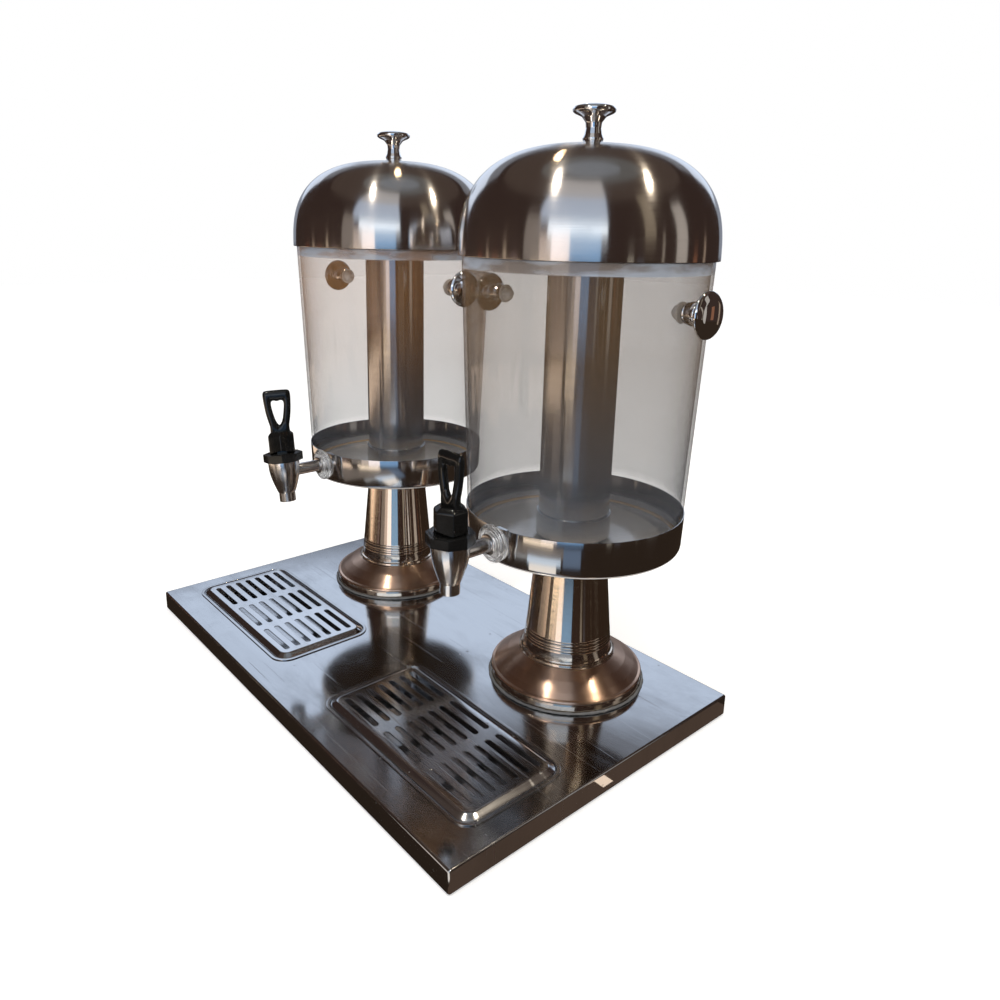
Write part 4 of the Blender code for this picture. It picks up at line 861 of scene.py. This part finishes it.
# %% Tap places
TAP_Y = TANK_Y - 0.154
NOZZLE_Z, SHANK_UP = 0.158, 0.034
LEAN = {"right": 0.0, "left": math.radians(-8)}
TURN = {"right": math.radians(2), "left": math.radians(61)}
tap_place, swivel_place = {}, {}
for side, sign in SIDES.items():
    shank_point = Matrix.Translation((sign * TANK_X, TAP_Y, NOZZLE_Z + SHANK_UP))
    leaned = shank_point @ Matrix.Rotation(LEAN[side], 4, "Y") @ Matrix.Translation((0, 0, -SHANK_UP))
    tap_place[side] = leaned
    swivel_place[side] = leaned @ Matrix.Rotation(TURN[side], 4, "Z")
LYING = Matrix.Translation((0, 0, SHANK_UP)) @ Matrix.Rotation(-math.pi / 2, 4, "X")


def each_tap(name, piece, places, look, node, part="stand"):
    """Carries a piece of the tap to both taps."""
    for side in SIDES:
        made = copied(piece, side + "_" + name, places[side])
        hand_over(made, part if part == "stand" else side + "_" + part, look, side + "_" + node)
    bpy.data.objects.remove(piece)


print("lever axes at", [tuple(round(value, 4) for value in place.translation) for place in tap_place.values()])

# %% Tap bodies
washer_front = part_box("right_tap_washer")[0].y - TAP_Y
shank_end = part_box("right_tap_body")[1].y - TAP_Y
SHANK_RADIUS, SHOULDER = 0.00675, 0.0098
bowl = [(0.0150, 0.0550), (0.0150, 0.0465), (0.0173, 0.0465, 0.0006), (0.0173, 0.0430)]
for step in range(1, 13):
    share = 1 - step / 12
    bowl.append((0.0098 + 0.0075 * math.sin(share * math.pi / 2), 0.0110 + share * 0.0320))
bowl += [(0.0090, 0.0102, 0.0005), (0.0090, 0.0, 0.0004), (0.0062, 0.0, 0.0004), (0.0062, 0.0170),
         (0.0100, 0.0240), (0.0128, 0.0300), (0.0128, 0.0550), (0.0150, 0.0550)]
body = turned("tap_body", bowl, steps=64)
shank = [(0.0, 0.0136), (SHANK_RADIUS, 0.0136), (SHANK_RADIUS, washer_front - 0.0034),
         (0.0086, washer_front - 0.0033), (SHOULDER, washer_front - 0.0024, 0.0006),
         (SHOULDER, washer_front - 0.0003, 0.0003), (SHANK_RADIUS, washer_front - 0.0003),
         (SHANK_RADIUS, shank_end, 0.0006), (0.0, shank_end)]
carve(body, put(turned("shank", shank, steps=48), LYING), "UNION")
finished(body)
each_tap("tap_bowl", body, tap_place, tap_chrome, "tap_body")

# %% [markdown]
# ## Washers of the taps
# Two clear silicone washers of different size sit between the pan and the shoulder of the shank. Their faces
# carry fine concentric ridges, and the back of the wide one is cut to the curve of the pan.

# %% Washers
washer = raised([(SHANK_HOLE, 0.0052), (0.0180, 0.0052), (0.0180, 0.0020, 0.0005), (0.0168, 0.0018), (0.0163, 0.0023),
                 (0.0158, 0.0018), (0.0153, 0.0023), (0.0148, 0.0018), (0.0142, 0.0018), (0.0142, 0.0002, 0.0004),
                 (0.0130, 0.0), (0.0126, 0.0005), (0.0121, 0.0), (0.0117, 0.0005), (0.0112, 0.0),
                 (SHANK_HOLE, 0.0), (SHANK_HOLE, 0.0052)], washer_front)
for side, sign in SIDES.items():
    piece = put(turned("washer", washer, steps=72), tap_place[side] @ LYING)
    low_z, high_z = NOZZLE_Z + SHANK_UP - 0.03, NOZZLE_Z + SHANK_UP + 0.03
    cone = [(0.0, high_z), (pan_radius(high_z) + 0.0002, high_z), (pan_radius(low_z) + 0.0002, low_z), (0.0, low_z)]
    carve(piece, turned("cone", cone, (sign * TANK_X, TANK_Y), steps=128))
    piece.name = piece.data.name = side + "_clear_washer"
    hand_over(finished(piece), "stand", clear_rubber, side + "_tap_washer")

# %% [markdown]
# ## The black nuts
# An eight-sided nut closes each bowl. Its top is slightly raised inside a border, and a small tower on it
# carries the pin of the lever. The tower only shows when the lever is tilted.

# %% Black nuts
bonnet = prism(8, 0.022, 0.0089, (0, 0, 0.05145))
choose(bonnet, "FACE", lambda face: face.normal.z > 0.9)
bpy.ops.mesh.inset(thickness=0.0026, depth=0.0)
bpy.ops.mesh.inset(thickness=0.0006, depth=0.0006)
close_up()
carve(bonnet, block((0.011, 0.0148, 0.0096), (0, -0.00140, 0.0608)), "UNION")
carve(bonnet, turned("neck", [(0.0, 0.0553), (0.0154, 0.0553), (0.0154, 0.0400), (0.0, 0.0400)], steps=48))
carve(bonnet, turned("stem", [(0.0, 0.0800), (0.0033, 0.0800), (0.0033, 0.0400), (0.0, 0.0400)], steps=32))
finished(bonnet, edge=0.0006, flat=True)
each_tap("black_nut", bonnet, swivel_place, black_plastic, "tap_bonnet")

# %% [markdown]
# ## The levers
# The lever is a six-sided cap with a wishbone loop to pull. The loop is drawn as two outlines, the outside and
# the finger opening, which are bridged into a flat band, given their depth and rounded. The cap is hollow, and
# its front lower edge is cut away to leave room for tilting.


# %% Smooth outlines
def flowing(points, count=6):
    """A closed line through the points, with extra points on a smooth curve between them."""
    line = []
    total = len(points)
    for index in range(total):
        a, b, c, d = (Vector(points[(index + shift) % total]) for shift in (-1, 0, 1, 2))
        for step in range(count):
            t = step / count
            line.append(0.5 * (2 * b + (c - a) * t + (2 * a - 5 * b + 4 * c - d) * t ** 2
                               + (3 * b - a - 3 * c + d) * t ** 3))
    return line


def ray_reach(line, centre, angle):
    """Point of a closed line that a ray from the centre meets."""
    way = Vector((math.cos(angle), math.sin(angle)))
    best = None
    for here, there in zip(line, line[1:] + line[:1]):
        p, q = here - centre, there - centre
        side_p, side_q = way.cross(p), way.cross(q)
        if side_p * side_q <= 0 and abs(side_p - side_q) > 1e-12:
            hit = p + (q - p) * (side_p / (side_p - side_q))
            if hit.dot(way) > 0 and (best is None or hit.length > best.length):
                best = hit
    return centre + best


def drawn_loop(name, line):
    """A closed line of vertices in the upright plane y = 0, with one vertex for each ray from the middle."""
    points = [tuple(ray_reach(line, MIDDLE, 2 * math.pi * step / RAYS)) for step in range(RAYS)]
    piece = one_vertex(name, (points[0][0], 0, points[0][1]))
    for here, there in zip(points, points[1:] + points[:1]):
        extrude((there[0] - here[0], 0, there[1] - here[1]))
    select_all()
    bpy.ops.mesh.remove_doubles(threshold=0.00001)
    close_up()
    return piece


# %% Lever loops
outer_right = [(0.0116, 0.0755), (0.0107, 0.0800), (0.0108, 0.0860), (0.0128, 0.0950), (0.0144, 0.1050),
               (0.0153, 0.1150), (0.0156, 0.1218), (0.0149, 0.1264), (0.0112, 0.1282)]
inner_right = [(0.0008, 0.0888), (0.0028, 0.0926), (0.0047, 0.0992), (0.0061, 0.1068), (0.0066, 0.1118),
               (0.0058, 0.1148), (0.0034, 0.1155), (0.0010, 0.1148)]
MIDDLE, RAYS = Vector((0, 0.1075)), 72
loop = drawn_loop("outside", flowing(outer_right + [(-x, z) for x, z in reversed(outer_right)]))
opening = drawn_loop("opening", flowing(inner_right + [(-x, z) for x, z in reversed(inner_right)]))
pick(loop)
opening.select_set(True)
bpy.ops.object.join()
edit(loop, "EDGE")
bpy.ops.mesh.bridge_edge_loops()
select_all()
bpy.ops.mesh.normals_make_consistent(inside=False)
close_up()
modified(loop, "SOLIDIFY", thickness=0.0084, offset=0)
modified(loop, "SUBSURF", levels=2, render_levels=2)
print("loop:", len(loop.data.polygons), "faces")

# %% Lever caps
CAP_LOW, CAP_TOP, PIN_AHEAD, PIN_UP = 0.0568, 0.0770, 0.0063, 0.0620
TILT = math.radians(26)
cap = prism(6, 0.0158, CAP_TOP - CAP_LOW, (0, 0, (CAP_TOP + CAP_LOW) / 2))
choose(cap, "FACE", lambda face: face.normal.z > 0.9)
bpy.ops.mesh.inset(thickness=0.0042, depth=0.0040)
close_up()
finished(cap, edge=0.0011)
carve(cap, loop, "UNION")
carve(cap, prism(6, 0.0130, 0.020, (0, -0.0011, 0.0570)))
hinge_foot = Matrix.Translation((0, -PIN_AHEAD, PIN_UP - (PIN_UP - CAP_LOW) / math.cos(TILT)))
wedge = block((0.034, 0.032, 0.016), (0, -0.016, -0.008))
carve(cap, put(wedge, hinge_foot @ Matrix.Rotation(-TILT, 4, "X")))
finished(cap, edge=0.0003, smooth=40, flat=True)
each_tap("pull_lever", cap, swivel_place, black_plastic, "tap_lever", part="lever")

# %% [markdown]
# ## Side knobs and their nuts
# Two chrome knobs grip each tank. They are turned like the lid's knob: a convex barrel against the wall, a
# narrow neck and a domed disc with a thin stepped back. Inside the tank a washer and a small capped nut hold
# each of them.

# %% Side knobs
knob_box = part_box("right_knob_out")
KNOB_Z = (knob_box[0].z + knob_box[1].z) / 2
seat = knob_box[1].x - TANK_X - 0.025
grip = [(0.0, 0.0250), (0.0070, 0.0248), (0.0130, 0.0240, 0.006), (0.0178, 0.0222, 0.004), (0.0195, 0.0204, 0.0014),
        (0.0194, 0.0190, 0.0008), (0.0180, 0.0186, 0.0004), (0.0177, 0.0179, 0.0004), (0.0120, 0.0171, 0.003),
        (0.0074, 0.0163, 0.002), (0.0070, 0.0140, 0.001), (0.0078, 0.0130, 0.0008), (0.0096, 0.0116, 0.002),
        (0.0101, 0.0085, 0.003), (0.0098, 0.0045, 0.003), (0.0082, 0.0016, 0.001), (0.0086, 0.0008, 0.0003),
        (0.0086, 0.0, 0.0003), (0.0030, 0.0), (0.0030, -0.0100), (0.0, -0.0100)]


def each_way(name, piece, look, node):
    """Lays a piece out and in from each tank's axis, at the height of the knobs."""
    for side, sign in SIDES.items():
        for way, quarters in (("out", sign), ("in", -sign)):
            lying = Matrix.Rotation(quarters * math.pi / 2, 4, "Y")
            place = Matrix.Translation((sign * TANK_X, TANK_Y, KNOB_Z)) @ lying
            made = copied(piece, f"{side}_{name}_{way}", place)
            hand_over(made, "stand", look, f"{side}_{node}_{way}")
    bpy.data.objects.remove(piece)


each_way("grip", turned("grip", raised(grip, seat), steps=64), chrome, "knob")

# %% Capped nuts
nut_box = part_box("right_nut_out")
face_out, end_in = nut_box[1].x - TANK_X, nut_box[0].x - TANK_X
nut = turned("cap_nut", [
    (0.0, face_out), (0.0090, face_out, 0.0004), (0.0090, face_out - 0.0015, 0.0004), (0.0062, face_out - 0.0018),
    (0.0056, face_out - 0.0060), (0.0052, end_in + 0.0024, 0.002), (0.0030, end_in + 0.0004, 0.001), (0.0, end_in),
], steps=48)
carve(nut, finished(prism(6, 0.0066, 0.0044, (0, 0, face_out - 0.0040)), edge=0.0004), "UNION")
each_way("cap_nut", finished(nut), dull_nickel, "nut")

# %% [markdown]
# ## The floor and the white room
# The floor is pale paint that keeps the dispenser's shadow. Daylight of plain strength makes it light grey, so a
# little glow that only the camera sees lifts it to the white of the room behind, and no horizon shows. The world
# is full white for the camera, for reflections and for rays through clear parts, and a little dimmer as light.

# %% Floor and world
let_go()
bpy.ops.mesh.primitive_plane_add(size=12)
floor = bpy.context.object
floor.name = "floor"
floor.visible_glossy = False
pale = Recipe("floor_paint", Roughness=0.9, Emission_Strength=1.0)
pale.shade(Base_Color=pale.mix(pale.noise((2, 2, 2)), (0.90, 0.90, 0.90), (0.93, 0.93, 0.93)))
pale.shade(Emission_Color=pale.mix(pale.node("ShaderNodeLightPath"), (0, 0, 0), (0.36, 0.36, 0.36)))
floor.data.materials.append(pale.material)
floor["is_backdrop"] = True
world = bpy.data.worlds.new("white_world")
bpy.context.scene.world = world
world.use_nodes = True
nodes, links = world.node_tree.nodes, world.node_tree.links
paths = nodes.new("ShaderNodeLightPath")
bright = paths.outputs["Is Camera Ray"]
for kind in ("Is Glossy Ray", "Is Transmission Ray"):
    either = nodes.new("ShaderNodeMath")
    either.operation = "MAXIMUM"
    links.new(bright, either.inputs[0])
    links.new(paths.outputs[kind], either.inputs[1])
    bright = either.outputs[0]
level = nodes.new("ShaderNodeMapRange")
level.inputs[3].default_value = 0.72
level.inputs[4].default_value = 1.0
links.new(bright, level.inputs[0])
links.new(level.outputs[0], nodes["Background"].inputs[1])
nodes["Background"].inputs[0].default_value = (1, 1, 1, 1)
print("floor and world ready")

# %% [markdown]
# ## What the steel reflects
# Polished steel shows its surroundings more than its own colour, so a studio builds them from cards. Each card is
# a line, level or upright, that is spun part of the way round the dispenser like a screen. Most are the dark
# brown of a wooden room. In front are an open doorway with cool daylight, a warm post beside it, a pale glow
# above and the lit floor. Pale daylight also stands behind. Only reflections see the cards.


# %% Spun cards
FRONT = -41


def card(name, start, end, azimuths, colour, centre=(TANK_X, TANK_Y)):
    """Spins a line from (radius, height) to (radius, height) between two azimuths, counted from the front."""
    first, last = (math.radians(FRONT + azimuth) for azimuth in azimuths)
    heading = Vector((math.cos(first), math.sin(first), 0))
    made = one_vertex(name, Vector((*centre, start[1])) + heading * start[0])
    extrude(heading * (end[0] - start[0]) + Vector((0, 0, end[1] - start[1])))
    select_all()
    steps = max(2, round(abs(azimuths[1] - azimuths[0]) / 6))
    bpy.ops.mesh.spin(steps=steps, angle=first - last, center=(*centre, 0), axis=(0, 0, 1))
    close_up()
    paint = Recipe(name + "_paint", Base_Color=(0, 0, 0, 1), Specular_IOR_Level=0.0, Emission_Strength=1.0)
    paint.shade(Emission_Color=(*colour, 1))
    paint.material.cycles.emission_sampling = "NONE"
    made.data.materials.append(paint.material)
    made.visible_camera = made.visible_diffuse = made.visible_transmission = made.visible_shadow = False
    made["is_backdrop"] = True


def upright(name, radius, foot, top, azimuths, colour):
    card(name, (radius, foot), (radius, top), azimuths, colour)


def level_card(name, height, inner, outer, azimuths, colour):
    card(name, (inner, height), (outer, height), azimuths, colour)


# %% The room
AROUND, BEHIND, CEILING = (-180, 180), (138, 222), 2.7
upright("room_wall", 2.6, 0.0, CEILING, AROUND, (0.040, 0.026, 0.022))
level_card("room_ceiling", CEILING, 1.1, 2.6, AROUND, (0.075, 0.055, 0.046))
level_card("skylight_edge", CEILING, 0.6, 1.1, AROUND, (0.13, 0.13, 0.13))
level_card("skylight", CEILING, 0.0, 0.6, AROUND, (0.21, 0.23, 0.26))
level_card("room_floor", 0.0010, 0.0, 2.6, AROUND, (0.030, 0.020, 0.014))
upright("daylight_behind", 2.5, 0.95, 1.75, BEHIND, (0.78, 0.90, 1.10))
upright("low_behind", 2.5, 0.35, 0.95, BEHIND, (0.26, 0.29, 0.35))
upright("dusk_behind", 2.5, 1.75, 2.3, BEHIND, (0.20, 0.21, 0.24))

# %% Furniture along the walls
NEAR = 2.2
furniture = [(-112, -106, 0.02, 0.32, (0.16, 0.05, 0.03)), (-100, -97, 0.05, 0.42, (0.42, 0.32, 0.24)),
             (-93, -86, 0.02, 0.26, (0.20, 0.08, 0.05)), (-80, -77, 0.1, 0.50, (0.50, 0.40, 0.30)),
             (-72, -66, 0.0, 0.30, (0.14, 0.10, 0.10)), (26, 31, 0.0, 0.36, (0.36, 0.33, 0.28)),
             (34, 40, 0.0, 0.22, (0.10, 0.10, 0.12)), (56, 58, 0.0, 0.80, (0.30, 0.26, 0.22)),
             (90, 95, 0.1, 0.44, (0.22, 0.10, 0.06)), (104, 107, 0.0, 0.60, (0.34, 0.26, 0.20))]
for number, (first, last, foot, top, colour) in enumerate(furniture):
    upright(f"furniture_{number}", NEAR, foot, top, (first, last), colour)

# %% The doorway and what stands beside it
SKYLINE, SKY_TOP = 0.78, 1.15
upright("door_frame", NEAR, 0.0, SKYLINE, (-46, -36), (0.66, 0.56, 0.50))
upright("door_warm", NEAR, 0.0, SKYLINE, (-36, -21), (1.40, 1.28, 1.28))
upright("door_blue", NEAR, 0.0, SKYLINE, (-21, 4), (0.24, 0.44, 0.74))
upright("door_light", NEAR, SKYLINE, SKY_TOP, (-40, 9), (1.40, 1.60, 1.80))
upright("door_glow", NEAR, SKY_TOP, 2.6, (-50, 9), (0.46, 0.55, 0.70))
level_card("ceiling_glow", 2.6, 0.9, NEAR, (-50, 9), (0.48, 0.47, 0.47))
upright("left_post", NEAR, 0.0, 1.4, (-60, -46), (0.24, 0.21, 0.19))
upright("right_post", NEAR, 0.0, 1.7, (70, 82), (0.42, 0.39, 0.36))
upright("right_glow", NEAR, 0.7, 2.6, (40, 50), (0.24, 0.20, 0.15))

# %% The floor before the doorway, and beside the base
for name, inner, outer, azimuths, colour in (
        ("warm_floor", 0.30, 0.44, (-46, -20), (1.15, 1.06, 0.96)),
        ("grey_floor", 0.49, 0.58, (-66, -48), (0.38, 0.39, 0.40)),
        ("pale_floor", 0.44, 0.60, (-48, -16), (0.74, 0.88, 1.05)),
        ("blue_floor", 0.44, 1.20, (-14, 2), (0.14, 0.19, 0.28)),
        ("dull_floor", 0.60, 1.20, (-90, -14), (0.20, 0.17, 0.15)),
        ("tan_floor", 1.20, 1.9, (-135, -64), (1.3, 1.0, 0.75)),
        ("sunlit_floor", 1.20, 1.9, (-54, -24), (1.7, 1.4, 1.05))):
    level_card(name, 0.0016, inner, outer, azimuths, colour)
card("side_floor", (5.286, 0.0014), (5.34, 0.0014), (38.9, 42.9), (0.10, 0.066, 0.048), centre=(-5, 0))
card("side_glow", (5.290, 0.0017), (5.33, 0.0017), (40.85, 40.99), (1.30, 1.02, 0.78), centre=(-5, 0))

# %% [markdown]
# ## The lamps
# One large soft lamp adds daylight and is left out of reflections. Three small warm ones make the sparks on the
# steel: two beside the camera and a weak one behind the dispenser.


# %% Lamps
def lamp(name, azimuth, elevation, distance, side, power, colour, reflected=True):
    """An area lamp aimed at the near dispenser's middle."""
    azimuth, elevation = math.radians(FRONT + azimuth), math.radians(elevation)
    out = Vector((math.cos(azimuth) * math.cos(elevation), math.sin(azimuth) * math.cos(elevation),
                  math.sin(elevation)))
    let_go()
    bpy.ops.object.light_add(type="AREA")
    made = bpy.context.object
    made.name = name
    made.location = Vector((TANK_X, TANK_Y, 0.45)) + out * distance
    made.rotation_euler = out.to_track_quat("Z", "Y").to_euler()
    made.data.size, made.data.energy, made.data.color = side, power, colour
    made.visible_glossy = reflected
    print(name, [round(value, 2) for value in made.location])


lamp("soft_daylight", -20, 22, 2.0, 1.2, 9.0, (0.92, 0.96, 1.0), reflected=False)
lamp("warm_spot_left", -58, 63, 1.6, 0.05, 7.0, (1.0, 0.92, 0.80))
lamp("warm_spot_right", 77, 57, 1.6, 0.05, 7.0, (1.0, 0.88, 0.70))
lamp("warm_spot_behind", -165, 58, 1.6, 0.05, 0.8, (1.0, 0.78, 0.50))

# %% [markdown]
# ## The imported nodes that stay
# Screws, nuts, pins, seals and feet are right as they are, so they keep their form and get a finish alone.

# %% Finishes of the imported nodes
kept = {
    "tie_rod": zinc, "tie_nut": zinc, "lever_pin": zinc, "valve_stem": zinc, "lid_screw": zinc,
    "tap_lock_nut": chrome, "tap_seal": clear_rubber, "pan_seal": white_silicone, "seat_cup": white_silicone,
}
for name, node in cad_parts.items():
    kind = name.replace("left_", "").replace("right_", "")
    look = black_rubber if kind.startswith("foot_") else kept.get(kind)
    if look and not node.hide_render:
        node.data.materials.clear()
        node.data.materials.append(look)
        print("kept", name)

# %% [markdown]
# ## The dressed dispenser's box
# The box of the dressed dispenser is measured.

# %% Measure the box
low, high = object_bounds()
